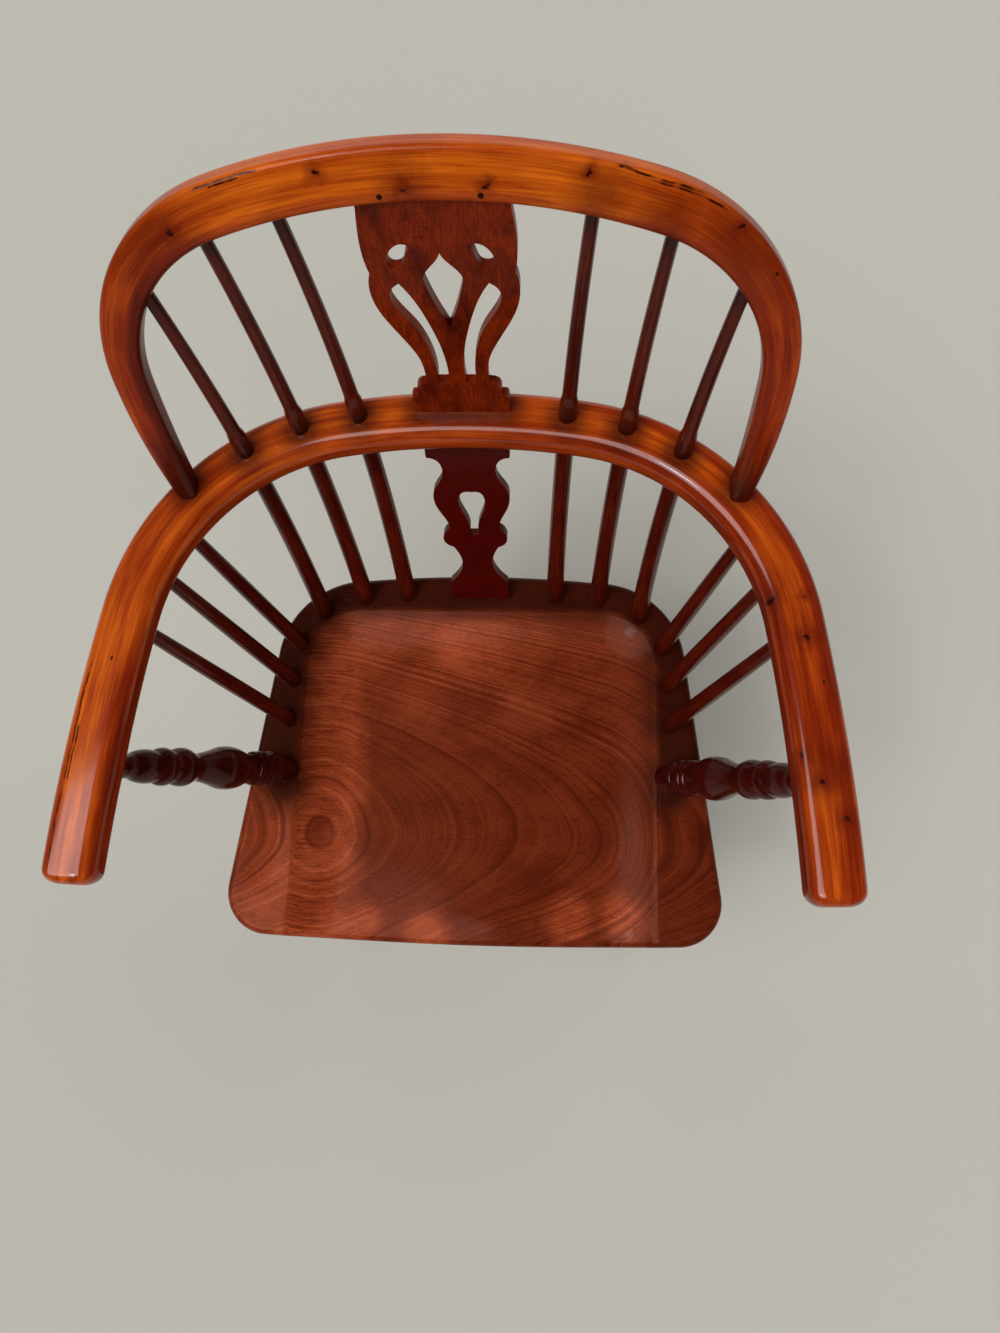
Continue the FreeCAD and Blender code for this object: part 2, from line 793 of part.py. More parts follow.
def seat_blank():
    """Flat seat with rounded corners and rounded edges, before it is hollowed."""
    front = seat_front_width / 2
    back = seat_back_width / 2
    back_y = seat_depth - seat_back_bulge
    front_corners = (Vector(-front, seat_front_bulge, 0), Vector(front, seat_front_bulge, 0))
    back_corners = (Vector(-back, back_y, 0), Vector(back, back_y, 0))
    edges = [
        Part.Arc(front_corners[0], Vector(0, 0, 0), front_corners[1]).toShape(),
        line(front_corners[1], back_corners[1]),
        Part.Arc(back_corners[1], Vector(0, seat_depth, 0), back_corners[0]).toShape(),
        line(back_corners[0], front_corners[0]),
    ]
    blank = Part.Face(Part.Wire(edges)).extrude(Vector(0, 0, seat_thickness))
    blank = blank.makeFillet(seat_back_corner, upright_edges(blank, seat_depth / 2, seat_depth))
    blank = blank.makeFillet(seat_front_corner, upright_edges(blank, 0, seat_front_corner))
    blank = blank.makeFillet(seat_top_round, level_edges(blank, seat_thickness))
    blank = blank.makeFillet(seat_under_round, level_edges(blank, 0))
    blank.translate(Vector(0, 0, seat_underside))
    return blank


def saddle():
    """Dish and thigh troughs, as the solids that hollow the seat."""
    dish_radius = (seat_depth - dish_front_margin - dish_back_margin) / 2
    ball_radius = (dish_radius ** 2 + dish_depth ** 2) / (2 * dish_depth)
    ball_z = seat_height + ball_radius - dish_depth
    hollows = [Part.makeSphere(ball_radius, Vector(0, dish_front_margin + dish_radius, ball_z))]
    for side in (-1, 1):
        front = Vector(side * trough_x, 0, seat_height + trough_radius - trough_depth)
        back = Vector(side * trough_x, trough_length, seat_height + trough_radius)
        hollows.append(rod(past(back, front, trough_length), back, trough_radius))
    return hollows


def seat():
    blank = seat_blank()
    for hollow in saddle():
        blank = blank.cut(hollow)
    cutters = [lower_foot_tongue(joint_clearance)]
    for side in (-1, 1):
        cutters += stick_sockets(side)
        cutters.append(support_foot(side, joint_clearance))
        cutters += [leg_tenon(side, end, joint_clearance) for end in ("front", "rear")]
    return blank.cut(cutters)


def arm_bow():
    board = hoop_board(arm_line.offset(arm_width / 2), arm_line.offset(-arm_width / 2), arm_thickness, 0.0)
    tips = upright_edges(board, arm_tip_y - arm_width, arm_tip_y + arm_width)
    board = board.makeFillet(arm_tip_round, tips)
    rims = level_edges(board, 0) + level_edges(board, arm_thickness)
    board = board.makeFillet(arm_edge_round, rims)
    board.translate(Vector(0, 0, arm_underside))
    cutters = [upper_tongue(joint_clearance), lower_tongue(joint_clearance)]
    for side in (-1, 1):
        cutters += stick_sockets(side)
        cutters += [support_head(side, joint_clearance), bow_tenon(side, joint_clearance)]
    return board.cut(cutters)


def bow_foot_points(side):
    """Middle of a back bow foot on the arm bow, and the end of its tenon under the arm bow."""
    foot = in_bow(side * bow_foot_x, 0.0)
    low = in_bow(side * bow_foot_x, -arm_thickness / rake_cosine)
    return foot, low


def bow_tenon(side, grow=0.0):
    """Round tenon through the whole arm bow. It starts inside the foot of the back bow."""
    foot, low = bow_foot_points(side)
    start = past(low, foot, bow_tenon_radius)
    end = past(foot, low, bow_tenon_radius)
    tenon = rod(start, end, bow_tenon_radius + grow)
    return tenon if grow > 0 else tenon.common(slab(arm_underside, far))


def tenon_wedge(side, grow=0.0):
    """Wedge driven up into the end of a back bow tenon."""
    low = bow_foot_points(side)[1]
    thick = wedge_thickness / 2 + grow
    thin = wedge_tip_thickness / 2 + grow
    length = wedge_length + past_end(grow)
    corners = [
        Vector(-thick, 0, -wedge_thickness),
        Vector(thick, 0, -wedge_thickness),
        Vector(thin, 0, length),
        Vector(-thin, 0, length),
    ]
    face = Part.Face(Part.makePolygon(corners + corners[:1]))
    wedge = face.extrude(Vector(0, wedge_width + 2 * grow, 0))
    wedge.translate(Vector(0, -wedge_width / 2 - grow, 0))
    leaning = FreeCAD.Placement(low, Rotation(Vector(1, 0, 0), -back_rake))
    wedge.Placement = leaning.multiply(wedge.Placement)
    return wedge.common(slab(arm_underside, far))


def splat_pin(side, grow=0.0):
    """Pin driven square through the front of the back bow and the head of the splat."""
    height = bow_inner_crown + pin_rise
    start = in_bow(side * pin_x, height, bow_thickness / 2)
    end = in_bow(side * pin_x, height, bow_thickness / 2 - pin_length - past_end(grow))
    return rod(start, end, pin_radius + grow)


def back_bow():
    board = hoop_board(bow_outer, bow_inner, bow_thickness, bow_thickness / 2)
    rims = level_edges(board, 0) + level_edges(board, bow_thickness)
    board = board.makeFillet(bow_edge_round, rims)
    board.translate(Vector(0, 0, -bow_thickness / 2))
    raked = FreeCAD.Placement(in_bow(0, 0), Rotation(Vector(1, 0, 0), half_turn / 2 - back_rake))
    board.Placement = raked.multiply(board.Placement)
    board = board.common(slab(arm_top, far))
    board = board.fuse([bow_tenon(side) for side in (-1, 1)]).removeSplitter()
    cutters = [upper_head(joint_clearance)]
    for side in (-1, 1):
        cutters += [long_stick(side, row, joint_clearance) for row in range(len(long_foot_share))]
        cutters += [tenon_wedge(side, joint_clearance), splat_pin(side, joint_clearance)]
    return board.cut(cutters)


def save(name, shape):
    """Move a piece to the chair's own origin and write it."""
    shape = shape.copy()
    shape.translate(Vector(0, -chair_middle_y, 0))
    if not shape.isValid():
        print("not valid:", name)
    print(name, len(shape.Solids), "solid,", round(shape.Volume / 1000), "cm3")
    shape.exportStep(f"parts/{name}.step")


def save_pair(name, shape, ending=""):
    """Write a piece of the left side and its mirror image on the right."""
    save(f"{name}_left{ending}", shape)
    save(f"{name}_right{ending}", shape.mirror(Vector(0, 0, 0), Vector(1, 0, 0)))


os.makedirs("parts", exist_ok=True)
save("seat", seat())
save("arm_bow", arm_bow())
save("back_bow", back_bow())
save("upper_splat", upper_splat())
save("lower_splat", lower_splat())
save("stretcher_hoop", bent_stretcher())
save_pair("arm_support", arm_support(1))
save_pair("stretcher_spur", spur(1))
for end in ("front", "rear"):
    save_pair(f"{end}_leg", leg(1, end))
for row in range(len(long_foot_share)):
    save_pair("long_stick", long_stick(1, row), f"_{row + 1}")
for row in range(len(short_foot_share)):
    save_pair("short_stick", short_stick(1, row), f"_{row + 1}")
save("bow_tenon_wedges", Part.makeCompound([tenon_wedge(side) for side in (-1, 1)]))
save("splat_pins", Part.makeCompound([splat_pin(side) for side in (-1, 1)]))
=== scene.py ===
import math

import bmesh
import bpy
import numpy as np
from mathutils import Matrix, Vector

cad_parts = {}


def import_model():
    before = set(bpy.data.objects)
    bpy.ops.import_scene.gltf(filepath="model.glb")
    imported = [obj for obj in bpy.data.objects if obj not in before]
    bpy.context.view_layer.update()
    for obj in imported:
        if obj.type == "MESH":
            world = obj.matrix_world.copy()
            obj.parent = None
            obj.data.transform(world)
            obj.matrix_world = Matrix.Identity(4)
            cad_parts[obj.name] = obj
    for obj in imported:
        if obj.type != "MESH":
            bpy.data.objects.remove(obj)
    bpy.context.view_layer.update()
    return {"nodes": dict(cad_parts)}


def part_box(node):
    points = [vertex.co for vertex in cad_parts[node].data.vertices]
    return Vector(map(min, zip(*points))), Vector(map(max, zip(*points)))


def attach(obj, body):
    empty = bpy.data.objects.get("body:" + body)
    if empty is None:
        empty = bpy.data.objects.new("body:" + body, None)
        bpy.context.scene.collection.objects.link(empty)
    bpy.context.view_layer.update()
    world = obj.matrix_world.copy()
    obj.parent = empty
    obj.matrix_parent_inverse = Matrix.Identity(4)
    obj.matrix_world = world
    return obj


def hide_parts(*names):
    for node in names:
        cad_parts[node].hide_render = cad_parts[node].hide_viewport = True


# Low-back wooden armchair. Sizes are millimetres, with Y measured back from the front edge of the
# seat and Z up from the floor, as in the CAD source. put() turns them into metres in the row frame.
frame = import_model()
MM = 0.001
front_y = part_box("seat")[0].y / MM

# Seat
seat_height = 430.0
seat_thickness = 38.0
seat_front_half = 262.0
seat_back_half = 211.0
seat_depth = 396.0
seat_bulges = (5.0, 6.0)            # of the front and back edge
seat_corners = (45.0, 95.0)
seat_top_round = 7.0
seat_under_round = 14.0
seat_corner_steps = 24              # points round each corner, and then along each side
seat_side_steps = 80
seat_top_rings = 76                 # rings of points from the middle to the edge
seat_round_rings = 9

# Saddle: a scoop with straight sides, square back corners and an open front
scoop_half = 189.0
scoop_back = 353.0
scoop_corner = 58.0
scoop_slope = 52.0                  # width of its sloping sides
scoop_depth = 11.5
pommel_height = 5.5
pommel_x = 15.0
pommel_half = 62.0
pommel_length = 150.0
roll_length = 30.0                  # of the front edge, worn down inside the scoop
roll_drop = 4.5

# Seat grime, painted shade and painted sheen: where each patch starts and where it is full, across or back
# from the front
rim_grime_y = (150.0, 185.0)
# painted shade on the left wing, added to the rim grime
left_wing_shade_x = (190.0, 197.0)
# painted sheen of the main lamp on the back slope and the right wing
slope_sheen_x = (185.0, -20.0)
slope_sheen_y = (190.0, 325.0)
wing_sheen_x = (-184.0, -192.0)
wing_outside_x = (-290.0, -210.0)
wing_sheen_y = (168.0, 140.0)
# painted light on the right slope, which faces away from the main lamp
side_light_x = (-110.0, -155.0)
front_highlight_spots = ((-117.0, 20.0), (-46.0, 9.0), (102.0, 30.0), (153.0, 32.0))   # places on the front edge that get a painted highlight

# Growth rings of the seat board, in metres
ring_turn_y = 0.110                 # where the rings lie furthest across the board
ring_curves = (0.41, 0.29)          # how wide they bend towards the back and the front
ring_lean = 4.3                     # of the trunk, across for each unit up
ring_warp = 0.004
ring_eye = -0.0464                  # level of the innermost ring
rings_closeness = 300.0
left_ridge_x = 0.1925               # dark line along the left side of the scoop
right_highlight_x = -0.188               # painted highlight along its right side

# Line of the stick feet
rim_half = 203.2
rim_start_y = 200.0
rim_reach = 174.0
rim_squareness = 4.6

# Arm bow: crown Y, crown radius, shoulder radius, half width, tip X, tip Y, side radius
arm_hoop = (458.0, 660.0, 209.0, 283.0, 303.0, 48.0, 1860.0)
arm_top = 686.0
arm_width = 46.0
arm_thickness = 28.0
arm_tip_round = 13.0
arm_tip_edge = 9.0
arm_rounds = (9.0, 15.0, 8.0, 8.0)  # outer top, inner top, inner bottom, outer bottom

# Back bow, in its raked plane: the same sizes of its outer and inner edge
bow_outer = (287.0, 512.0, 154.0, 261.0, 246.0, 0.0, 490.0)
bow_inner = (250.0, 470.0, 124.0, 235.0, 228.0, 0.0, 1200.0)
bow_foot_x = 237.0
bow_setback = 14.0
bow_thickness = 22.0
bow_rounds = (4.5, 6.0, 7.0, 7.0)   # outer front, inner front, inner back, outer back
bow_tail = 10.0                     # of its foot, hidden in the arm bow
rake = math.radians(25.0)

# Long sticks: place across of foot, crossing and head
long_foot_x = (81.3, 128.0, 172.7)
long_arm_x = (90.6, 141.5, 188.2)
long_head_x = (105.8, 159.8, 212.7)
long_radii = (9.2, 8.0, 7.8, 6.4, 4.9)      # foot, arm, top of the thick part, neck, head
long_swell = 34.0                   # height of the thick part above the middle of the arm bow
long_neck = 7.0
long_foot_depth = 10.0
long_head_depth = 12.0

# Short sticks: place along the seat of foot and head
short_foot_y = (314.8, 274.0, 230.1)
short_head_y = (359.4, 320.6, 270.2)
short_radii = (8.0, 6.0)
short_swell = 0.7                   # how much thicker the middle is

# Turned arm supports: where they stand on the seat
support_x = 202.3
support_y = 176.2

# Splats and pins
splat_bevel = 1.1
pin_x = 33.0
pin_rise = 5.0                      # above the inner edge of the back bow
pin_radius = 2.0
pin_depth = 12.0
pin_proud = 0.7
pin_dome = 0.8

# Camera, worked out from the photograph
camera_spot = (89.4, 44.5, 1464.5)
camera_pitch = 0.24317              # from straight down, radians
camera_turn = 0.26140
camera_roll = -0.23882
picture_size = (1000, 1333)
focal_pixels = 984.7
sensor = 36.0

# Marks on the bows: place and radius of each knot and dark stain
knots = (
    (-71.7, 492.4, 937.0, 3.0), (-178.4, 475.8, 901.1, 3.2), (102.6, 491.4, 934.3, 2.2),
    (202.3, 475.9, 900.9, 2.6), (260.3, 291.0, 683.7, 3.4), (287.2, 294.8, 686.0, 2.6),
    (285.7, 258.5, 686.0, 3.8), (293.0, 142.6, 686.0, 3.2), (311.4, 115.3, 684.0, 4.2),
    (279.0, 163.7, 684.3, 2.8), (-15.3, 488.2, 927.5, 2.4), (37.4, 488.5, 927.8, 2.6),
)
stains = (
    (209.9, 469.2, 886.6, 26.0), (152.4, 476.7, 902.8, 15.0), (109.4, 485.2, 921.1, 14.0),
    (-192.3, 471.2, 890.9, 24.0), (-15.3, 488.2, 927.5, 12.0), (300.0, 150.0, 686.0, 16.0),
)
# Cracks along the bows: distance outwards, first and last place along the grain
cracks = (
    (17.3, 1020.0, 1085.0), (15.6, 1045.0, 1100.0), (17.0, 738.0, 790.0), (15.4, 752.0, 775.0),
    (15.0, -590.0, -415.0), (12.5, -520.0, -470.0),
)
bow_grain_start = 900.0             # where the grain of the back bow starts, apart from that of the arms
stick_grain_apart = (40.0, 230.0)   # from stick to stick, across and along

# Colours, as linear values
floor_colour = (0.50, 0.482, 0.43, 1.0)
honey = (0.73, 0.148, 0.006, 1.0)
amber = (0.45, 0.063, 0.003, 1.0)
russet = (0.25, 0.020, 0.001, 1.0)
dark_red = (0.11, 0.006, 0.001, 1.0)
near_black = (0.018, 0.002, 0.001, 1.0)
seat_red = (0.108, 0.011, 0.002, 1.0)
seat_light = (0.18, 0.026, 0.007, 1.0)
seat_dark = (0.050, 0.004, 0.001, 1.0)
painted_light_gain = (2.4, 3.4, 4.6, 1.0)    # how much lighter the painted sheen, light and highlights make the wood
warm_shine = (1.0, 0.3, 0.15, 1.0)
room_light = (1.0, 0.985, 0.96, 1.0)


# Meshes

def put(points):
    """Chair millimetres to metres in the row frame."""
    points = np.asarray(points, float)
    return (points + np.array([0.0, front_y, 0.0])) * MM


def ride(piece, nodes):
    """The piece rides on the chair, and stands for its CAD nodes."""
    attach(piece, "root")
    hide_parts(*nodes)


def loft(rings, grain, grime, tone=None):
    """Mesh through closed rings of points. It keeps the place in the grain, grime and tone of each point; on
    the seat the grime also holds painted shade and the tone painted sheen and highlights.
    """
    rings = np.asarray(rings, float)
    tone = np.zeros(rings.shape[:2]) if tone is None else tone
    count, around = rings.shape[:2]
    vertices = put(rings.reshape(-1, 3))
    faces = []
    for ring in range(count - 1):
        for spot in range(around):
            after = (spot + 1) % around
            low = ring * around
            high = low + around
            faces.append((low + spot, low + after, high + after, high + spot))
    faces.append(tuple(range(around)))
    faces.append(tuple(range((count - 1) * around, count * around)))
    mesh = bpy.data.meshes.new("loft")
    mesh.from_pydata(vertices.tolist(), [], faces)
    layer = mesh.attributes.new("grain", "FLOAT_VECTOR", "POINT")
    layer.data.foreach_set("vector", (np.asarray(grain, float) * MM).reshape(-1))
    for name, values in (("grime", grime), ("tone", tone)):
        layer = mesh.attributes.new(name, "FLOAT", "POINT")
        layer.data.foreach_set("value", np.asarray(values, float).reshape(-1))
    body = bmesh.new()
    body.from_mesh(mesh)
    bmesh.ops.recalc_face_normals(body, faces=body.faces)
    body.to_mesh(mesh)
    body.free()
    mesh.shade_smooth()
    mesh.set_sharp_from_angle(angle=math.radians(55))
    return mesh


def show(name, mesh, material, slot, *nodes):
    """A visible piece from a mesh, in place of its CAD nodes."""
    piece = bpy.data.objects.new(name, mesh)
    mesh.materials.append(material)
    bpy.context.scene.collection.objects.link(piece)
    ride(piece, nodes)


def near(points, spots, radius, reach):
    """1 within a radius of a spot, falling to 0 over the reach."""
    points = np.asarray(points, float)
    closest = np.full(points.shape[:-1], 1e9)
    for spot in spots:
        closest = np.minimum(closest, np.linalg.norm(points - np.array(spot), axis=-1))
    return np.clip(1 - (closest - radius) / reach, 0, 1) ** 1.5


def grow(value, low, high):
    """0 below low and 1 above high, or the other way round."""
    return np.clip((value - low) / (high - low), 0, 1)


def wander(place, seed):
    """Slow hand-made waviness along a piece, between -1 and 1."""
    return (np.sin(place / 41 + seed) + np.sin(place / 97 + 2.3 * seed)) / 2


# Hoops

def hoop_arcs(sizes):
    """The crown, shoulder and side arc of a bent bow: centre, radius, first and last angle."""
    crown_y, crown_radius, shoulder_radius, half, foot_x, foot_y, side_radius = sizes
    first = Vector((0, crown_y - crown_radius))
    second_x = half - shoulder_radius
    rise = math.sqrt((crown_radius - shoulder_radius) ** 2 - second_x ** 2)
    second = Vector((second_x, first.y + rise))
    foot = Vector((foot_x, foot_y))
    reach = side_radius - shoulder_radius
    span = (foot - second).length
    ahead = (reach ** 2 - side_radius ** 2 + span ** 2) / (2 * span)
    aside = math.sqrt(reach ** 2 - ahead ** 2)
    toward = (foot - second).normalized()
    third = second + toward * ahead + Vector((toward.y, -toward.x)) * aside
    turns = [math.pi / 2]
    for direction in (second - first, second - third, foot - third):
        turns.append(math.atan2(direction.y, direction.x))
    radii = (crown_radius, shoulder_radius, side_radius)
    return list(zip((first, second, third), radii, turns, turns[1:]))


def hoop_length(sizes):
    return sum(radius * (start - end) for _, radius, start, end in hoop_arcs(sizes))


def hoop_at(sizes, distance):
    """Point and outward direction at a distance from the middle of the crown. It runs on past the foot."""
    side = math.copysign(1, distance)
    left = abs(distance)
    arcs = hoop_arcs(sizes)
    for centre, radius, start, end in arcs:
        if left <= radius * (start - end):
            break
        left -= radius * (start - end)
    else:
        left += radius * (start - end)
    angle = start - left / radius
    outward = np.array([side * math.cos(angle), math.sin(angle)])
    return np.array([side * centre.x, centre.y]) + outward * radius, outward


def hoop_y(sizes, x):
    """Place along Y of the crown or shoulder, from a place across."""
    (first, crown_radius, _, turn), (second, shoulder_radius, _, _) = hoop_arcs(sizes)[:2]
    if x <= crown_radius * math.cos(turn):
        return first.y + math.sqrt(crown_radius ** 2 - x ** 2)
    return second.y + math.sqrt(shoulder_radius ** 2 - (x - second.x) ** 2)


def hoop_x(sizes, y):
    """Half width of the shoulder or side, from a place along Y."""
    _, (second, shoulder_radius, _, turn), (third, side_radius, _, _) = hoop_arcs(sizes)
    if y >= second.y + shoulder_radius * math.sin(turn):
        return second.x + math.sqrt(shoulder_radius ** 2 - (y - second.y) ** 2)
    return third.x + math.sqrt(side_radius ** 2 - (y - third.y) ** 2)


bow_foot_y = hoop_y(arm_hoop, bow_foot_x) + bow_setback


def in_bow(x, height, forward=0.0):
    """Point in the raked plane of the back bow."""
    y = bow_foot_y + height * math.sin(rake) - forward * math.cos(rake)
    z = arm_top + height * math.cos(rake) + forward * math.sin(rake)
    return np.array([x, y, z])


def section(width, thickness, rounds, corner_steps=7, side_steps=4):
    """Rectangle with its own round at each corner, from the outer top one on. Points are (out, up)."""
    most = 0.49 * min(width, thickness)
    corners = ((1, 1), (-1, 1), (-1, -1), (1, -1))
    points = []
    for index, (out, up) in enumerate(corners):
        radius = min(rounds[index], most)
        centre = np.array([out * (width / 2 - radius), up * (thickness / 2 - radius)])
        for step in range(corner_steps):
            angle = math.pi / 2 * (index + step / (corner_steps - 1))
            points.append(centre + radius * np.array([math.cos(angle), math.sin(angle)]))
        following = corners[(index + 1) % 4]
        next_radius = min(rounds[(index + 1) % 4], most)
        next_centre = np.array([
            following[0] * (width / 2 - next_radius), following[1] * (thickness / 2 - next_radius),
        ])
        turn = math.pi / 2 * (index + 1)
        target = next_centre + next_radius * np.array([math.cos(turn), math.sin(turn)])
        start = points[-1]
        for step in range(1, side_steps):
            points.append(start + (target - start) * step / side_steps)
    return np.array(points)


def rim_y(x):
    """Place along Y of the line of stick feet, from a place across."""
    return rim_start_y + rim_reach * (1 - (x / rim_half) ** rim_squareness) ** (1 / rim_squareness)


def rim_x(y):
    """Half width of the line of stick feet, from a place along Y."""
    rise = max(y - rim_start_y, 0) / rim_reach
    return rim_half * (1 - rise ** rim_squareness) ** (1 / rim_squareness)


# Where the sticks stand

def long_stick_points(side, row):
    """Foot on the seat, crossing in the middle of the arm bow, and head at the back bow."""
    foot = np.array([side * long_foot_x[row], rim_y(long_foot_x[row]), seat_height])
    arm_x = long_arm_x[row]
    crossing = np.array([side * arm_x, hoop_y(arm_hoop, arm_x), arm_top - arm_thickness / 2])
    head = in_bow(side * long_head_x[row], hoop_y(bow_inner, long_head_x[row]))
    return foot, crossing, head


def short_stick_points(side, row):
    """Foot on the seat and head at the underside of the arm bow."""
    foot = np.array([side * rim_x(short_foot_y[row]), short_foot_y[row], seat_height])
    head_x = side * hoop_x(arm_hoop, short_head_y[row])
    return foot, np.array([head_x, short_head_y[row], arm_top - arm_thickness])


rows = range(3)
sides = (-1, 1)
stick_feet = [long_stick_points(side, row)[0] for side in sides for row in rows]
stick_feet += [short_stick_points(side, row)[0] for side in sides for row in rows]
crossings = [long_stick_points(side, row)[1] for side in sides for row in rows]
stick_heads = [long_stick_points(side, row)[2] for side in sides for row in rows]
short_heads = [short_stick_points(side, row)[1] for side in sides for row in rows]


# Seat

def corner_arc(before, corner, after, radius, steps):
    """Points of the arc that rounds a corner of a flat outline."""
    back = (before - corner).normalized()
    on = (after - corner).normalized()
    half = back.angle(on) / 2
    centre = corner + (back + on).normalized() * radius / math.sin(half)
    start = corner + back * radius / math.tan(half) - centre
    turn = start.angle_signed(corner + on * radius / math.tan(half) - centre)
    return [centre + Matrix.Rotation(-turn * step / steps, 2) @ start for step in range(steps + 1)]


def seat_outline():
    """Points round the seat, close together, seen from above."""
    front_bulge, back_bulge = seat_bulges
    corners = [
        Vector((-seat_front_half, front_bulge)),
        Vector((seat_front_half, front_bulge)),
        Vector((seat_back_half, seat_depth - back_bulge)),
        Vector((-seat_back_half, seat_depth - back_bulge)),
    ]
    rounds = (seat_corners[0], seat_corners[0], seat_corners[1], seat_corners[1])
    points = []
    for index, corner in enumerate(corners):
        after = corners[(index + 1) % 4]
        points += corner_arc(corners[index - 1], corner, after, rounds[index], seat_corner_steps)
        following = corners[(index + 2) % 4]
        start = points[-1]
        end = corner_arc(corner, after, following, rounds[(index + 1) % 4], seat_corner_steps)[0]
        bulge = (-front_bulge, 0, back_bulge, 0)[index]
        for step in range(1, seat_side_steps):
            share = step / seat_side_steps
            spot = start.lerp(end, share)
            spot.y += bulge * 4 * share * (1 - share)
            points.append(spot)
    return np.array([tuple(point) for point in points])


def into_scoop(x, y):
    """Distance inwards from the outline of the scoop. It is negative outside."""
    beyond_x = np.abs(x) - (scoop_half - scoop_corner)
    beyond_y = y - (scoop_back - scoop_corner)
    outside = np.hypot(np.maximum(beyond_x, 0), np.maximum(beyond_y, 0))
    return scoop_corner - outside - np.minimum(np.maximum(beyond_x, beyond_y), 0)


def saddle(x, y):
    """How far the seat is hollowed at a place."""
    bowl = 1 - (1 - grow(into_scoop(x, y), 0, scoop_slope)) ** 2
    nearness = grow(y, pommel_length, 0) ** 1.3
    pommel = pommel_height * np.exp(-((x - pommel_x) / pommel_half) ** 2) * nearness
    uneven = 1 + 0.2 * np.sin(x / 21) + 0.08 * np.sin(x / 9 + 1)
    roll = roll_drop * grow(y, roll_length, 0) ** 2 * uneven
    return bowl * (scoop_depth - pommel + roll)


def seat_wear(x, y):
    """Grime on the rim, painted shade on the left wing. Painted sheen on the back slope and right wing,
    painted light on the right slope, painted highlights on the front edge.
    """
    inside = into_scoop(x, y)
    rim_grime_and_shade = grow(inside, 0, -6) * grow(y, *rim_grime_y)
    # painted shade on the left wing
    rim_grime_and_shade = np.maximum(rim_grime_and_shade, 0.25 * grow(x, *left_wing_shade_x))
    # painted sheen on the back slope
    slope = grow(inside, 2, 12) * grow(y, *slope_sheen_y) * grow(x, *slope_sheen_x)
    # painted sheen on the right wing
    wing = grow(x, *wing_sheen_x) * grow(x, *wing_outside_x) * grow(y, *wing_sheen_y)
    # painted light on the right slope
    side = 1.9 * grow(x, *side_light_x) * grow(inside, 0, 4)
    spots = np.stack([x, y, np.zeros_like(x)], axis=-1)
    # painted highlights on the front edge
    front_highlights = 2.0 * near(spots, [(px, py, 0) for px, py in front_highlight_spots], 4, 30)
    painted_light = np.maximum(np.maximum(slope, wing), np.maximum(side, front_highlights))
    return rim_grime_and_shade, painted_light


def inset(outline, distance):
    """The outline moved inwards by a distance, square to its edge."""
    ahead = np.roll(outline, -1, axis=0) - np.roll(outline, 1, axis=0)
    ahead /= np.linalg.norm(ahead, axis=1, keepdims=True)
    return outline + distance * np.stack([-ahead[:, 1], ahead[:, 0]], axis=1)


def seat_mesh():
    outline = seat_outline()
    middle = np.array([0.0, seat_depth / 2])
    underside = seat_height - seat_thickness
    top_edge = inset(outline, seat_top_round)
    edge_height = seat_height - saddle(top_edge[:, 0], top_edge[:, 1])
    rings = []
    for share in np.linspace(0.01, 1, seat_top_rings):
        spots = middle + (top_edge - middle) * share
        rings.append(np.column_stack([spots, seat_height - saddle(spots[:, 0], spots[:, 1])]))
    for turn in np.linspace(0, math.pi / 2, seat_round_rings)[1:]:
        spots = inset(outline, seat_top_round * (1 - math.sin(turn)))
        rings.append(np.column_stack([spots, edge_height - seat_top_round * (1 - math.cos(turn))]))
    for turn in np.linspace(0, math.pi / 2, seat_round_rings):
        spots = inset(outline, seat_under_round * (1 - math.cos(turn)))
        height = underside + seat_under_round * (1 - math.sin(turn))
        rings.append(np.column_stack([spots, np.full(len(spots), height)]))
    under_edge = inset(outline, seat_under_round)
    for share in (0.75, 0.5, 0.25, 0.01):
        spots = middle + (under_edge - middle) * share
        rings.append(np.column_stack([spots, np.full(len(spots), underside)]))
    rings = np.array(rings)
    feet = [(spot[0], spot[1], seat_height) for spot in stick_feet]
    feet += [(side * support_x, support_y - ahead, seat_height) for side in sides for ahead in (0, 18)]
    feet += [(x, rim_y(0), seat_height) for x in (-25, 0, 25)]
    # rim grime and painted shade darken the seat; painted sheen, light and highlights lighten it
    rim_grime_and_shade, painted_light = seat_wear(rings[..., 0], rings[..., 1])
    grime = np.maximum(near(rings, feet, 10, 34), 0.95 * rim_grime_and_shade)
    return loft(rings, rings - np.array([0, 0, seat_height]), grime, painted_light)


# Bows

def tip_positions(length):
    """Distances along half a bow, closer together near its rounded tip."""
    body = list(np.linspace(0, length - arm_tip_round - 2, 84))
    turn = np.linspace(0, math.pi / 2, 12)[1:]
    return body + list(length - arm_tip_round * (1 - np.sin(turn)))


def rounded_tip(left, radius):
    """How much a side is drawn in, when so much is left to the end."""
    if left >= radius:
        return 0.0
    return radius - math.sqrt(radius ** 2 - (radius - left) ** 2)


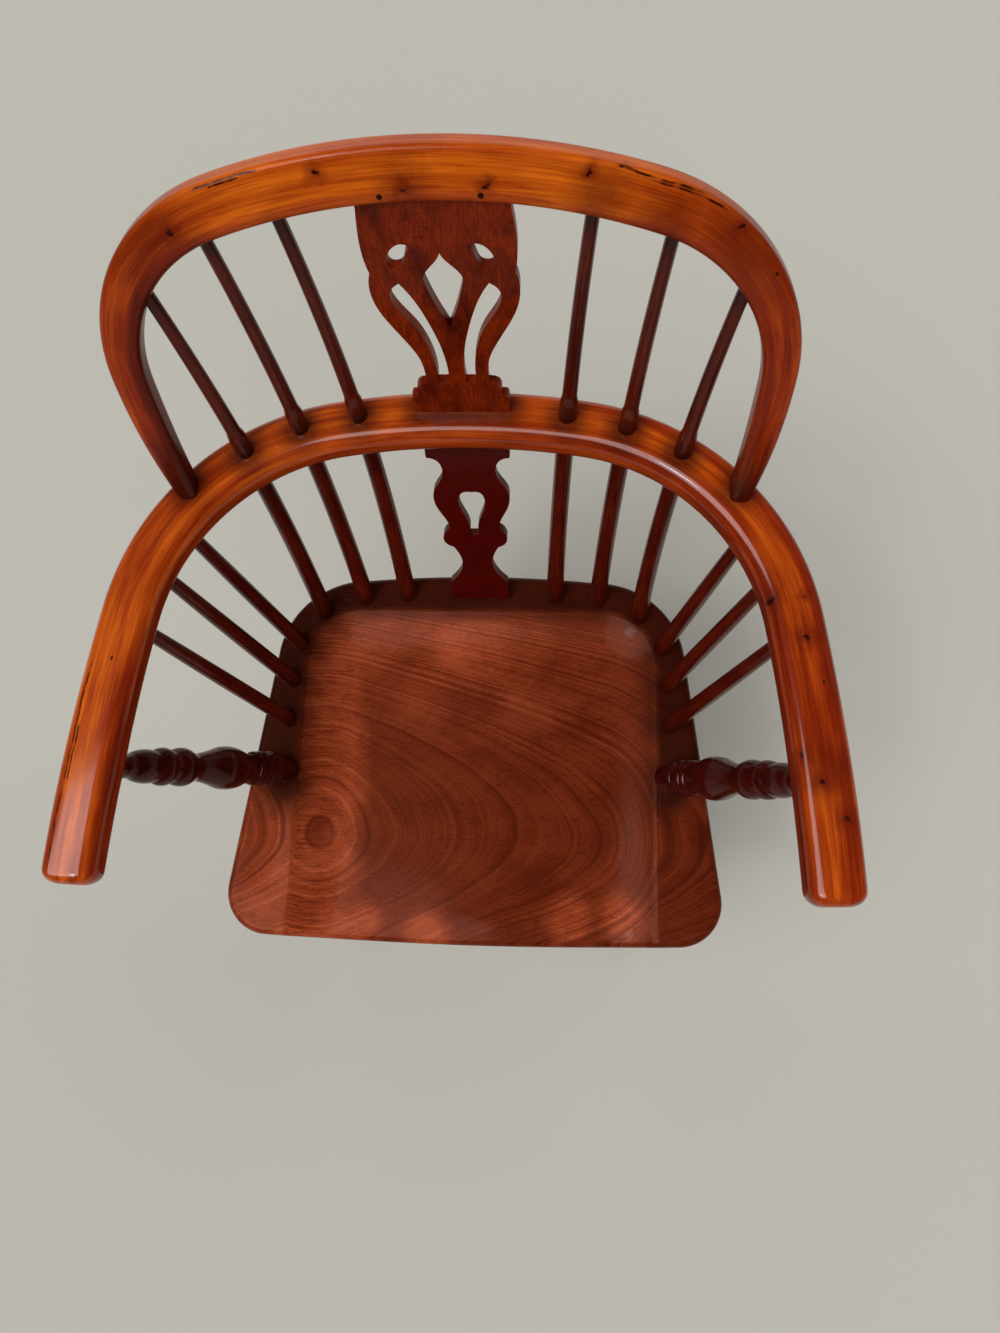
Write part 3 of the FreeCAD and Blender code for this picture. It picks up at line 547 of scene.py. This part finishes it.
def arm_bow_mesh():
    length = hoop_length(arm_hoop)
    half = tip_positions(length)
    places = [-place for place in reversed(half)] + half[1:]
    rings = []
    grain = []
    for place in places:
        spot, outward = hoop_at(arm_hoop, place)
        left = length - abs(place)
        width = arm_width + 0.7 * wander(place, 1.0) - 2 * rounded_tip(left, arm_tip_round)
        thickness = arm_thickness - 2 * rounded_tip(left, arm_tip_edge)
        profile = section(width, thickness, arm_rounds)
        ring = []
        for out, up in profile:
            flat = spot + outward * out
            ring.append((flat[0], flat[1], arm_top - arm_thickness / 2 + up))
        rings.append(ring)
        grain.append([(out, up, place) for out, up in profile])
    rings = np.array(rings)
    tops = [(spot[0], spot[1], arm_top) for spot in crossings]
    tops += [tuple(in_bow(side * bow_foot_x, 0)) for side in sides]
    tops += [(x, arm_hoop[0] + 5, arm_top) for x in (-36, -18, 0, 18, 36)]
    unders = [(spot[0], spot[1], arm_top - arm_thickness) for spot in crossings + short_heads]
    grime = np.maximum(0.85 * near(rings, tops, 11, 17), 0.7 * near(rings, unders, 7, 14))
    grain = np.array(grain)
    tone = 0.35 + 0.2 * grow(grain[..., 2], -100, 300) + 0.35 * grow(grain[..., 0], -8, -22)
    return loft(rings, grain, grime, tone)


def back_bow_mesh():
    outer_length = hoop_length(bow_outer)
    inner_length = hoop_length(bow_inner)
    shares = list(np.linspace(-1, 1, 181))
    extra = bow_tail / outer_length
    shares = [-1 - extra] + shares + [1 + extra]
    rings = []
    grain = []
    for share in shares:
        outer = hoop_at(bow_outer, share * outer_length)[0]
        inner = hoop_at(bow_inner, share * inner_length)[0]
        centre = (outer + inner) / 2
        outward = outer - inner
        width = np.linalg.norm(outward)
        outward = outward / width
        place = share * outer_length
        thickness = bow_thickness + 0.5 * wander(place, 4.0)
        profile = section(width, thickness, bow_rounds)
        ring = []
        for out, up in profile:
            spot = centre + outward * out
            ring.append(in_bow(spot[0], spot[1], up))
        rings.append(ring)
        grain.append([(out, up, place + bow_grain_start) for out, up in profile])
    rings = np.array(rings)
    feet = [in_bow(side * bow_foot_x, 0) for side in sides]
    grime = np.maximum(near(rings, feet, 14, 70), 0.6 * near(rings, stick_heads, 5, 14))
    grain = np.array(grain)
    place = grain[..., 2] - bow_grain_start
    inner = grow(grain[..., 0], 8, -12)
    left = grow(place, -140, -250) * (0.25 + 1.0 * inner)
    right = grow(place, 130, 270) * (0.5 + 0.3 * inner)
    tone = 0.15 + left + right
    return loft(rings, grain, grime, tone)


# Sticks

def tube(path, radii, offset, around=22):
    """Round bar along a path, with slightly flat places left by the shave."""
    path = np.array(path)
    ahead = np.gradient(path, axis=0)
    ahead /= np.linalg.norm(ahead, axis=1, keepdims=True)
    across = np.cross(ahead, np.array([0.0, 1.0, 0.0]))
    across /= np.linalg.norm(across, axis=1, keepdims=True)
    third = np.cross(ahead, across)
    along = np.concatenate([[0], np.cumsum(np.linalg.norm(np.diff(path, axis=0), axis=1))])
    apart, further = stick_grain_apart
    rings = []
    grain = []
    for spot, first, second, radius, place in zip(path, across, third, radii, along):
        ring = []
        for angle in np.linspace(0, 2 * math.pi, around, endpoint=False):
            size = radius * (1 + 0.02 * math.sin(3 * angle + place / 60 + offset))
            flat = (size * math.cos(angle), size * math.sin(angle))
            ring.append((spot + first * flat[0] + second * flat[1], flat + (place,)))
        rings.append([point for point, _ in ring])
        grain.append([(u + apart * offset, v, s + further * offset) for _, (u, v, s) in ring])
    return np.array(rings), np.array(grain)


def through(points, shares):
    """Points of the smooth curve through three points, at shares of its length that may pass its ends."""
    first, second, third = points
    knee = np.linalg.norm(second - first)
    knee = knee / (knee + np.linalg.norm(third - second))
    found = []
    for share in shares:
        a = (share - knee) * (share - 1) / knee
        b = share * (share - 1) / (knee * (knee - 1))
        c = share * (share - knee) / (1 - knee)
        found.append(first * a + second * b + third * c)
    return np.array(found)


def long_stick_mesh(side, row):
    points = long_stick_points(side, row)
    length = sum(np.linalg.norm(b - a) for a, b in zip(points, points[1:]))
    knee = np.linalg.norm(points[1] - points[0])
    foot, arm, swell, neck, head = long_radii
    start = -long_foot_depth
    end = length + long_head_depth
    swell_end = knee + long_swell
    neck_start = swell_end + long_neck
    places = [start, 0, knee / 2, knee, swell_end, neck_start, end]
    radii = [foot, foot, (foot + arm) / 2, arm, swell, neck, head]
    marks = set(np.linspace(start, end, 60)) | set(np.linspace(swell_end - 4, neck_start + 4, 10))
    marks = sorted(marks)
    path = through(points, [mark / length for mark in marks])
    sizes = np.interp(marks, places, radii)
    rings, grain = tube(path, sizes, side * (row + 1) * 0.7)
    soiled = [points[0], points[1] + np.array([0, 0, arm_thickness / 2]), points[2]]
    return loft(rings, grain, 0.8 * near(rings, soiled, 7, 16))


def short_stick_mesh(side, row):
    foot, head = short_stick_points(side, row)
    shares = np.linspace(-0.05, 1.05, 24)
    path = [foot + (head - foot) * share for share in shares]
    foot_radius, head_radius = short_radii
    swells = short_swell * np.sin(math.pi * np.clip(shares, 0, 1))
    sizes = foot_radius + (head_radius - foot_radius) * shares + swells
    rings, grain = tube(path, sizes, side * (row + 4) * 0.7)
    return loft(rings, grain, 0.8 * near(rings, [foot, head], 6, 14))


def rod_mesh(start, end, radius, dome, offset):
    """Short round bar with a slightly domed far end."""
    start = np.array(start, float)
    end = np.array(end, float)
    length = np.linalg.norm(end - start)
    ahead = (end - start) / length
    places = [0, length * 0.5, length - dome, length - dome / 3, length]
    sizes = [radius, radius, radius, radius * 0.86, radius * 0.45]
    rings, grain = tube([start + ahead * place for place in places], sizes, offset)
    return loft(rings, grain, np.zeros(rings.shape[:2]))


def join(meshes):
    """One mesh of several."""
    body = bmesh.new()
    for mesh in meshes:
        body.from_mesh(mesh)
    whole = bpy.data.meshes.new("joined")
    body.to_mesh(whole)
    body.free()
    for mesh in meshes:
        bpy.data.meshes.remove(mesh)
    return whole


def pins_mesh():
    meshes = []
    for side in sides:
        height = bow_inner[0] + pin_rise
        start = in_bow(side * pin_x, height, bow_thickness / 2 - pin_depth)
        end = in_bow(side * pin_x, height, bow_thickness / 2 + pin_proud)
        meshes.append(rod_mesh(start, end, pin_radius, pin_dome, side))
    return join(meshes)


# Materials

def add(tree, kind, values=(), **settings):
    """A node with its settings, and its inputs set or linked by name or number."""
    node = tree.nodes.new("ShaderNode" + kind)
    for name, value in settings.items():
        setattr(node, name, value)
    for name, value in dict(values).items():
        if isinstance(value, bpy.types.NodeSocket):
            tree.links.new(value, node.inputs[name])
        else:
            node.inputs[name].default_value = value
    return node


def maths(tree, operation, first, second=0.0):
    return add(tree, "Math", {0: first, 1: second}, operation=operation).outputs[0]


def centred(tree, value, width):
    """A value around a half becomes one around zero, that wide."""
    return maths(tree, "MULTIPLY", maths(tree, "SUBTRACT", value, 0.5), width)


def line_at(tree, axis, place, half, reach):
    """1 within half a width of a place on an axis, falling to 0 at the reach."""
    apart = maths(tree, "ABSOLUTE", maths(tree, "SUBTRACT", axis, place))
    return remap(tree, apart, half, reach, 1.0, 0.0)


def scaled(tree, vector, scale):
    node = add(tree, "VectorMath", {0: vector, 1: scale}, operation="MULTIPLY")
    return node.outputs["Vector"]


def noise(tree, vector, detail=2.0, roughness=0.5, distortion=0.0):
    values = {"Vector": vector, "Scale": 1.0, "Detail": detail}
    values.update({"Roughness": roughness, "Distortion": distortion})
    return add(tree, "TexNoise", values).outputs["Fac"]


def remap(tree, value, low, high, start=0.0, end=1.0):
    """A value between low and high becomes one between start and end."""
    values = {"Value": value, "From Min": low, "From Max": high, "To Min": start, "To Max": end}
    return add(tree, "MapRange", values, clamp=True).outputs["Result"]


def ramp(tree, value, stops):
    """The colour of a value, between stops of a place and a colour."""
    node = add(tree, "ValToRGB", {"Fac": value})
    elements = node.color_ramp.elements
    while len(elements) < len(stops):
        elements.new(0.5)
    for element, (place, colour) in zip(elements, stops):
        element.position = place
        element.color = colour
    return node.outputs["Color"]


def mix(tree, share, first, second, blend="MIX"):
    """The first colour, with a share of the second."""
    node = add(tree, "Mix", data_type="RGBA", blend_type=blend)
    for number, value in ((0, share), (6, first), (7, second)):
        if isinstance(value, bpy.types.NodeSocket):
            tree.links.new(value, node.inputs[number])
        else:
            node.inputs[number].default_value = value
    return node.outputs[2]


def attribute(tree, name, output):
    return add(tree, "Attribute", attribute_name=name).outputs[output]


def finish_wood(tree, colour, roughness, height, bump, shine, coat):
    """Waxed wood shader from a colour, a roughness and a height for the bump."""
    dent = add(tree, "Bump", {"Height": height, "Strength": bump, "Distance": 0.0006})
    values = {"Base Color": colour, "Roughness": roughness, "Normal": dent.outputs["Normal"]}
    values.update({"Specular IOR Level": shine, "Specular Tint": warm_shine})
    values.update({"Coat Weight": coat, "Coat Roughness": 0.1, "Coat IOR": 1.5})
    shader = add(tree, "BsdfPrincipled", values)
    add(tree, "OutputMaterial", {"Surface": shader.outputs["BSDF"]})


def new_tree(name):
    material = bpy.data.materials.new(name)
    material.use_nodes = True
    material.node_tree.nodes.clear()
    return material, material.node_tree


def spots_near(tree, place, marks, fade):
    """1 at any of the marks, falling to 0 at their radius times the fade."""
    found = 0.0
    for x, y, z, radius in marks:
        centre = Vector(put((x, y, z)))
        apart = add(tree, "VectorMath", {0: place, 1: centre}, operation="DISTANCE").outputs["Value"]
        spot = remap(tree, apart, radius * MM * 0.5, radius * MM * fade, 1.0, 0.0)
        found = maths(tree, "MAXIMUM", spot, found)
    return found


def long_cracks(tree, grain):
    """Broken dark lines along the bend, on the front or top."""
    parts = add(tree, "SeparateXYZ", {"Vector": grain})
    out, up, along = (parts.outputs[axis] for axis in "XYZ")
    bend = centred(tree, noise(tree, scaled(tree, grain, (0, 0, 30)), 3), 0.005)
    bent = maths(tree, "ADD", out, bend)
    found = 0.0
    for outward, start, end in cracks:
        middle = (start + end) / 2 * MM
        half = (end - start) / 2 * MM
        line = line_at(tree, bent, outward * MM, 0.0003, 0.0010)
        line = maths(tree, "MULTIPLY", line, line_at(tree, along, middle, half * 0.9, half))
        found = maths(tree, "MAXIMUM", line, found)
    found = maths(tree, "MULTIPLY", found, remap(tree, up, 0.0, 0.002))
    gaps = noise(tree, scaled(tree, grain, (0, 0, 70)), 2)
    return maths(tree, "MULTIPLY", found, remap(tree, gaps, 0.4, 0.52, 0.25, 1.0))


def flecks(tree, grain):
    """Small dark flecks, in about a fifth of the cells of a pattern."""
    cells = add(tree, "TexVoronoi", {"Vector": scaled(tree, grain, (85, 85, 45)), "Scale": 1.0})
    found = remap(tree, cells.outputs["Distance"], 0.06, 0.11, 1.0, 0.0)
    keep = add(tree, "SeparateColor", {"Color": cells.outputs["Color"]}).outputs["Red"]
    return maths(tree, "MULTIPLY", found, remap(tree, keep, 0.8, 0.82))


def bow_wood(name, wax):
    """Orange to russet wood with fibres along the bend, dark stains, knots, flecks and cracks."""
    material, tree = new_tree(name)
    grain = attribute(tree, "grain", "Vector")
    place = add(tree, "TexCoord").outputs["Object"]
    streaks = noise(tree, scaled(tree, grain, (110, 110, 5)), 4, 0.6, 0.2)
    clouds = noise(tree, scaled(tree, grain, (30, 30, 11)), 3, 0.55, 0.3)
    fibres = noise(tree, scaled(tree, grain, (750, 750, 22)), 4, 0.65)
    figure = maths(tree, "ADD", maths(tree, "MULTIPLY", streaks, 0.8), maths(tree, "MULTIPLY", clouds, 0.45))
    figure = maths(tree, "SUBTRACT", figure, maths(tree, "MULTIPLY", attribute(tree, "tone", "Fac"), 0.36))
    colour = ramp(tree, figure, ((0.15, dark_red), (0.33, russet), (0.5, amber), (0.73, honey)))
    colour = mix(tree, remap(tree, fibres, 0.38, 0.58, 0.4, 0.0), colour, russet, "MULTIPLY")
    ragged = centred(tree, noise(tree, scaled(tree, place, (120, 120, 120)), 3), 0.012)
    warped = add(tree, "VectorMath", {0: place, 1: ragged}, operation="ADD").outputs[0]
    stained = maths(tree, "MULTIPLY", spots_near(tree, warped, stains, 2.0), 0.6)
    colour = mix(tree, stained, colour, dark_red)
    halos = maths(tree, "MULTIPLY", spots_near(tree, warped, knots, 3.5), 0.7)
    colour = mix(tree, halos, colour, dark_red)
    holes = maths(tree, "MAXIMUM", flecks(tree, grain), spots_near(tree, warped, knots, 1.0))
    marks = maths(tree, "MAXIMUM", holes, long_cracks(tree, grain))
    colour = mix(tree, marks, colour, near_black)
    grime = attribute(tree, "grime", "Fac")
    colour = mix(tree, maths(tree, "MULTIPLY", grime, 0.85), colour, near_black)
    roughness = remap(tree, clouds, 0.3, 0.7, 0.26, 0.38)
    height = maths(tree, "SUBTRACT", maths(tree, "MULTIPLY", fibres, 0.3), marks)
    finish_wood(tree, colour, roughness, height, 0.3, 0.25, wax)
    return material


def growth_rings(tree, place, x, y, z):
    """Light and dark rings of a leaning trunk, cut open by the saddle, with a darker innermost ring."""
    aside = maths(tree, "SUBTRACT", y, ring_turn_y)
    level = maths(tree, "ADD", z, maths(tree, "DIVIDE", x, ring_lean))
    for half, curve in zip(("MAXIMUM", "MINIMUM"), ring_curves):
        squared = maths(tree, "POWER", maths(tree, half, aside, 0.0), 2.0)
        level = maths(tree, "ADD", level, maths(tree, "DIVIDE", squared, curve))
    warp = centred(tree, noise(tree, scaled(tree, place, (9, 14, 9)), 2), ring_warp)
    level = maths(tree, "ADD", level, warp)
    values = {"W": maths(tree, "MULTIPLY", level, rings_closeness)}
    values.update({"Scale": 1.0, "Detail": 4.0, "Roughness": 0.75})
    years = add(tree, "TexNoise", values, noise_dimensions="1D").outputs["Fac"]
    eye = maths(tree, "MULTIPLY", line_at(tree, level, ring_eye, 0.0003, 0.0007), 0.15)
    return maths(tree, "SUBTRACT", years, eye)


def seat_wood():
    """Flat-sawn board with pores, dashes on its right slope, painted sheen and highlights, grime with
    painted shade and two side lines, one a painted highlight.
    """
    material, tree = new_tree("seat_wood")
    place = attribute(tree, "grain", "Vector")
    parts = add(tree, "SeparateXYZ", {"Vector": place})
    x, y, z = (parts.outputs[axis] for axis in "XYZ")
    years = growth_rings(tree, place, x, y, z)
    colour = ramp(tree, years, ((0.3, seat_dark), (0.46, seat_red), (0.75, seat_light)))
    pores = noise(tree, scaled(tree, place, (140, 620, 300)), 3, 0.7)
    colour = mix(tree, remap(tree, pores, 0.36, 0.46, 0.8, 0.0), colour, seat_dark)
    dashes = noise(tree, scaled(tree, place, (35, 420, 1)), 2, 0.6)
    band = maths(tree, "MULTIPLY", remap(tree, x, -0.130, -0.160), remap(tree, x, -0.189, -0.186))
    dashes = maths(tree, "MULTIPLY", remap(tree, dashes, 0.38, 0.48, 0.75, 0.0), band)
    colour = mix(tree, dashes, colour, seat_dark)
    patches = noise(tree, scaled(tree, place, (16, 22, 16)), 3)
    colour = mix(tree, remap(tree, patches, 0.3, 0.5, 0.45, 0.0), colour, seat_dark)
    colour = mix(tree, remap(tree, patches, 0.5, 0.7, 0.0, 0.4), colour, seat_light)
    # painted sheen, painted light and painted highlights, from the tone of the seat
    painted_light = mix(tree, 1.0, colour, painted_light_gain, "MULTIPLY")
    sheen = remap(tree, patches, 0.3, 0.7, 0.7, 1.1)
    colour = mix(tree, maths(tree, "MULTIPLY", attribute(tree, "tone", "Fac"), sheen), colour, painted_light)
    ridge = line_at(tree, x, left_ridge_x, 0.0004, 0.001)
    ridge = maths(tree, "MULTIPLY", ridge, remap(tree, y, 0.15, 0.17, 0.6, 0.0))
    colour = mix(tree, ridge, colour, seat_dark)
    # painted highlight line along the right side of the scoop
    edge = line_at(tree, x, right_highlight_x, 0.0006, 0.0022)
    edge = maths(tree, "MULTIPLY", edge, remap(tree, y, 0.13, 0.16, 0.7, 0.0))
    colour = mix(tree, edge, colour, painted_light)
    # grime round the feet and on the rim, with painted shade on the left wing
    grime = attribute(tree, "grime", "Fac")
    colour = mix(tree, maths(tree, "MULTIPLY", grime, 0.95), colour, near_black)
    roughness = remap(tree, patches, 0.3, 0.7, 0.32, 0.44)
    height = maths(tree, "ADD", maths(tree, "MULTIPLY", pores, 0.6), maths(tree, "MULTIPLY", years, 0.3))
    height = maths(tree, "SUBTRACT", height, maths(tree, "ADD", dashes, ridge))
    finish_wood(tree, colour, roughness, height, 0.5, 0.28, 0.05)
    return material


def dark_wood(name, light, dark, scale, gloss, wax, contrast=0.6, ticks=0.0, along_grain=False):
    """Dark red-brown wood with blotches, fine streaks and short cracks, along its own grain or Z."""
    material, tree = new_tree(name)
    if along_grain:
        place = attribute(tree, "grain", "Vector")
    else:
        place = add(tree, "TexCoord").outputs["Object"]
    blotches = noise(tree, scaled(tree, place, (scale, scale, scale * 0.35)), 4, 0.6, 0.4)
    streaks = noise(tree, scaled(tree, place, (700, 700, 30)), 3, 0.6)
    colour = ramp(tree, blotches, ((0.3, dark), (0.55, light), (0.8, dark)))
    colour = mix(tree, remap(tree, streaks, 0.4, 0.6, contrast, 0.0), colour, dark)
    level = maths(tree, "SUBTRACT", noise(tree, scaled(tree, place, (60, 60, 260)), 2, 0.6), 0.5)
    checks = remap(tree, maths(tree, "ABSOLUTE", level), 0.004, 0.014, ticks, 0.0)
    where = noise(tree, scaled(tree, place, (45, 45, 45)), 1)
    checks = maths(tree, "MULTIPLY", checks, remap(tree, where, 0.52, 0.6))
    colour = mix(tree, checks, colour, near_black)
    if along_grain:
        colour = mix(tree, attribute(tree, "grime", "Fac"), colour, near_black)
    roughness = remap(tree, blotches, 0.3, 0.7, gloss, gloss + 0.12)
    finish_wood(tree, colour, roughness, streaks, 0.25, 0.12, wax)
    return material


# Floor, light and camera

def floor():
    mesh = bpy.data.meshes.new("floor")
    half = 12.0
    corners = [(-half, -half, 0), (half, -half, 0), (half, half, 0), (-half, half, 0)]
    mesh.from_pydata(corners, [], [(0, 1, 2, 3)])
    piece = bpy.data.objects.new("floor", mesh)
    bpy.context.scene.collection.objects.link(piece)
    material, tree = new_tree("floor_paint")
    values = {"Base Color": floor_colour, "Roughness": 0.9, "Specular IOR Level": 0.0}
    shader = add(tree, "BsdfPrincipled", values)
    add(tree, "OutputMaterial", {"Surface": shader.outputs["BSDF"]})
    mesh.materials.append(material)


def soft_light(name, toward, spread, strength, mirrored=False):
    """A broad far lamp. toward is its direction, spread how wide it looks, mirrored if gloss shows it."""
    light = bpy.data.lights.new(name, "SUN")
    light.angle = math.radians(spread)
    light.energy = strength
    lamp = bpy.data.objects.new(name, light)
    lamp.rotation_euler = (-Vector(toward)).to_track_quat("-Z", "Y").to_euler()
    lamp.visible_glossy = mirrored
    bpy.context.scene.collection.objects.link(lamp)


def world():
    """Faint even light, behind a backdrop in the colour of the floor."""
    surroundings = bpy.data.worlds.new("room")
    surroundings.use_nodes = True
    tree = surroundings.node_tree
    tree.nodes.clear()
    ray = add(tree, "LightPath").outputs["Is Camera Ray"]
    light = add(tree, "Background", {"Color": room_light, "Strength": 0.05})
    seen = add(tree, "Background", {"Color": floor_colour, "Strength": 1.0})
    both = add(tree, "MixShader", {0: ray, 1: light.outputs[0], 2: seen.outputs[0]})
    add(tree, "OutputWorld", {"Surface": both.outputs[0]})
    bpy.context.scene.world = surroundings


def camera():
    """The view of the photograph."""
    sine, cosine = math.sin, math.cos
    forward = Vector((0, sine(camera_pitch), -cosine(camera_pitch)))
    upward = Vector((0, cosine(camera_pitch), sine(camera_pitch)))
    right = Vector((1, 0, 0))
    right, upward = (
        right * cosine(camera_roll) + upward * sine(camera_roll),
        upward * cosine(camera_roll) - right * sine(camera_roll),
    )
    turn = Matrix.Rotation(camera_turn, 3, "Z")
    axes = Matrix((turn @ right, turn @ upward, turn @ -forward)).transposed().to_4x4()
    lens = bpy.data.cameras.new("camera")
    lens.sensor_fit = "VERTICAL"
    lens.sensor_width = sensor
    lens.sensor_height = sensor
    lens.lens = focal_pixels * sensor / picture_size[1]
    lens.clip_start = 0.01
    viewer = bpy.data.objects.new("camera", lens)
    viewer.matrix_world = Matrix.Translation(Vector(put(camera_spot))) @ axes
    bpy.context.scene.collection.objects.link(viewer)
    bpy.context.scene.camera = viewer


def paint(node, material):
    """A CAD node that keeps its shape gets its material."""
    piece = frame["nodes"][node]
    piece.data.materials.clear()
    piece.data.materials.append(material)


camera()
world()
floor()
soft_light("softbox", (-0.42, -0.27, 1.0), 40, 1.7, mirrored=True)
soft_light("window", (-0.42, -0.30, 1.0), 8, 0.3, mirrored=True)
soft_light("front", (0.25, -1.3, 1.0), 60, 0.9)
soft_light("back_right", (1.3, 1.1, 1.0), 60, 0.9)
soft_light("back_left", (-1.2, 1.4, 1.0), 60, 0.5)
soft_light("back_low", (-0.15, 1.0, 0.12), 50, 0.35, mirrored=True)

arm_material = bow_wood("arm_wood", 0.75)
back_material = bow_wood("bow_wood", 0.22)
seat_material = seat_wood()
stick_material = dark_wood(
    "stick_wood", light=(0.11, 0.009, 0.002, 1), dark=(0.04, 0.002, 0.001, 1),
    scale=26, along_grain=True, gloss=0.24, wax=0.4, contrast=0.75,
)
upper_material = dark_wood(
    "upper_splat", light=(0.25, 0.021, 0.001, 1), dark=(0.055, 0.003, 0.001, 1),
    scale=38, gloss=0.34, wax=0.12, contrast=0.5, ticks=0.85,
)
# The lower splat gets a darker copy of the splat wood: painted shade under the arm bow.
shaded_splat_material = dark_wood(
    "lower_splat", light=(0.070, 0.002, 0.001, 1), dark=(0.045, 0.001, 0.001, 1),
    scale=60, gloss=0.34, wax=0.12, contrast=0.3,
)
turned_material = dark_wood(
    "turned_wood", light=(0.06, 0.003, 0.001, 1), dark=(0.018, 0.001, 0.001, 1),
    scale=60, gloss=0.2, wax=0.35,
)
pin_material = dark_wood(
    "pin_wood", light=(0.02, 0.004, 0.002, 1), dark=(0.01, 0.002, 0.001, 1),
    scale=300, gloss=0.4, wax=0.1,
)

show("seat_board", seat_mesh(), seat_material, "seat_wood", "seat")
show("bent_arm_bow", arm_bow_mesh(), arm_material, "bow_wood", "arm_bow")
show("bent_back_bow", back_bow_mesh(), back_material, "bow_wood", "back_bow")
show("pin_heads", pins_mesh(), pin_material, "pin_wood", "splat_pins")
for side, word in zip(sides, ("right", "left")):
    for row in rows:
        for kind, shape, make in (("long", "bent", long_stick_mesh), ("short", "shaved", short_stick_mesh)):
            node = f"{kind}_stick_{word}_{row + 1}"
            show(f"{shape}_{node}", make(side, row), stick_material, "stick_wood", node)
for node, material in (("upper_splat", upper_material), ("lower_splat", shaded_splat_material)):
    paint(node, material)
    bevel = frame["nodes"][node].modifiers.new("worn_edges", "BEVEL")
    bevel.width = splat_bevel * MM
    bevel.segments = 3
    bevel.limit_method = "ANGLE"
    bevel.angle_limit = math.radians(40)
for node in ("stretcher_hoop", "bow_tenon_wedges"):
    paint(node, turned_material)
for word in ("left", "right"):
    for kind in ("arm_support", "stretcher_spur", "front_leg", "rear_leg"):
        paint(f"{kind}_{word}", turned_material)

scene = bpy.context.scene
scene.view_settings.view_transform = "Standard"
